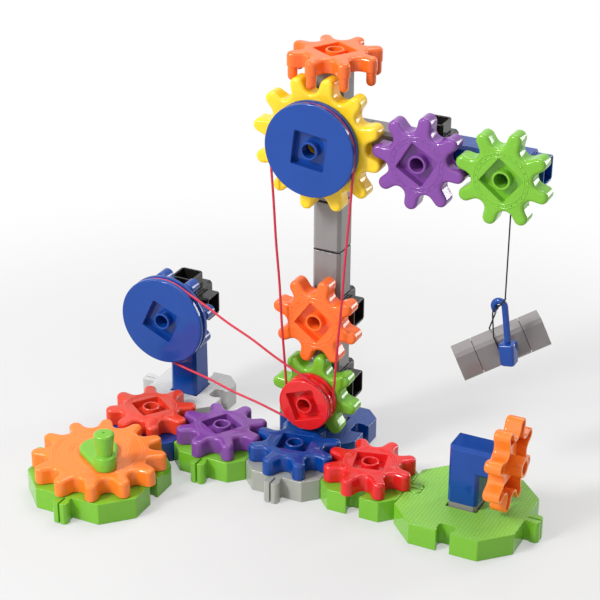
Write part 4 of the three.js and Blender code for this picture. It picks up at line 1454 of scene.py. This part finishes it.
def place_camera(scene):
    """The camera at the photograph's viewpoint."""
    azimuth, elevation, roll = (math.radians(angle) for angle in (AZIMUTH, ELEVATION, ROLL))
    back = Vector((
        math.sin(azimuth) * math.cos(elevation), -math.cos(azimuth) * math.cos(elevation),
        math.sin(elevation),
    ))
    right = Vector((math.cos(azimuth), math.sin(azimuth), 0))
    up = back.cross(right)
    across = math.cos(roll) * right + math.sin(roll) * up
    upward = -math.sin(roll) * right + math.cos(roll) * up
    position = grid(*AIMED_AT) + (right * ASIDE + up * ABOVE + back * DISTANCE) * MM
    turn = Matrix((across, upward, back)).transposed().to_4x4()
    camera = bpy.data.cameras.new("camera")
    camera.sensor_width = SENSOR_WIDTH
    camera.lens = FOCAL_PIXELS * SENSOR_WIDTH / FRAME_PIXELS
    camera.shift_x = (FRAME_PIXELS / 2 - AXIS_X) / FRAME_PIXELS
    camera.shift_y = (AXIS_Y - FRAME_PIXELS / 2) / FRAME_PIXELS
    holder = add_object("camera", camera)
    holder.matrix_world = Matrix.Translation(position) @ turn
    scene.camera = holder


class CRANE_OT_stage(Operator):
    """Make the pale floor, the soft lights and the camera"""

    bl_idname = "crane.stage"
    bl_label = "Stage"

    def execute(self, context):
        stage = settings("stage")
        mesh = bpy.data.meshes.new("floor")
        corners = ((-1, -1), (1, -1), (1, 1), (-1, 1))
        ground = [(x * FLOOR_REACH, y * FLOOR_REACH, 0) for x, y in corners]
        mesh.from_pydata(ground, [], [(0, 1, 2, 3)])
        mesh.materials.append(pale_floor(stage))
        floor = add_object("floor", mesh)
        context.scene.world = plain_world(stage)
        context.scene.view_settings.view_transform = "Standard"
        for name, power, width, height, place, aim in LIGHTS:
            soft_light(name, width, height, getattr(stage, power), place, aim)
        place_camera(context.scene)
        return {"FINISHED"}


class CRANE_PT_panel(Panel):
    """Lists the crane's parts"""

    bl_idname = "CRANE_PT_panel"
    bl_label = "Gear Crane"
    bl_space_type = "VIEW_3D"
    bl_region_type = "UI"
    bl_category = "Gear Crane"

    def draw(self, context):
        for operator in OPERATORS:
            self.layout.operator(operator.bl_idname)
        for name in GROUPS:
            box = self.layout.box()
            box.label(text=name.replace("_", " "))
            group = getattr(context.scene, "crane_" + name)
            for key in group.bl_rna.properties.keys():
                if key not in ("rna_type", "name"):
                    box.prop(group, key)


GROUPS = {
    "palette": PaletteSettings,
    "gear": GearSettings,
    "pulley": PulleySettings,
    "crank": CrankSettings,
    "bar": BarSettings,
    "load": LoadSettings,
    "stage": StageSettings,
}

OPERATORS = (
    CRANE_OT_stage,
    CRANE_OT_string,
    CRANE_OT_plates,
    CRANE_OT_bars,
    CRANE_OT_axles,
    CRANE_OT_gears,
    CRANE_OT_crown_gear,
    CRANE_OT_crank,
    CRANE_OT_pulleys,
    CRANE_OT_belts,
    CRANE_OT_hook,
)


def register():
    for group in GROUPS.values():
        bpy.utils.register_class(group)
    for operator in OPERATORS:
        bpy.utils.register_class(operator)
    bpy.utils.register_class(CRANE_PT_panel)
    for name, group in GROUPS.items():
        setattr(bpy.types.Scene, "crane_" + name, PointerProperty(type=group))


def unregister():
    for name in GROUPS:
        delattr(bpy.types.Scene, "crane_" + name)
    bpy.utils.unregister_class(CRANE_PT_panel)
    for operator in reversed(OPERATORS):
        bpy.utils.unregister_class(operator)
    for group in reversed(GROUPS.values()):
        bpy.utils.unregister_class(group)


def main():
    register()
    for operator in OPERATORS:
        group, _, action = operator.bl_idname.partition(".")
        getattr(getattr(bpy.ops, group), action)()


if __name__ == "__main__":
    main()
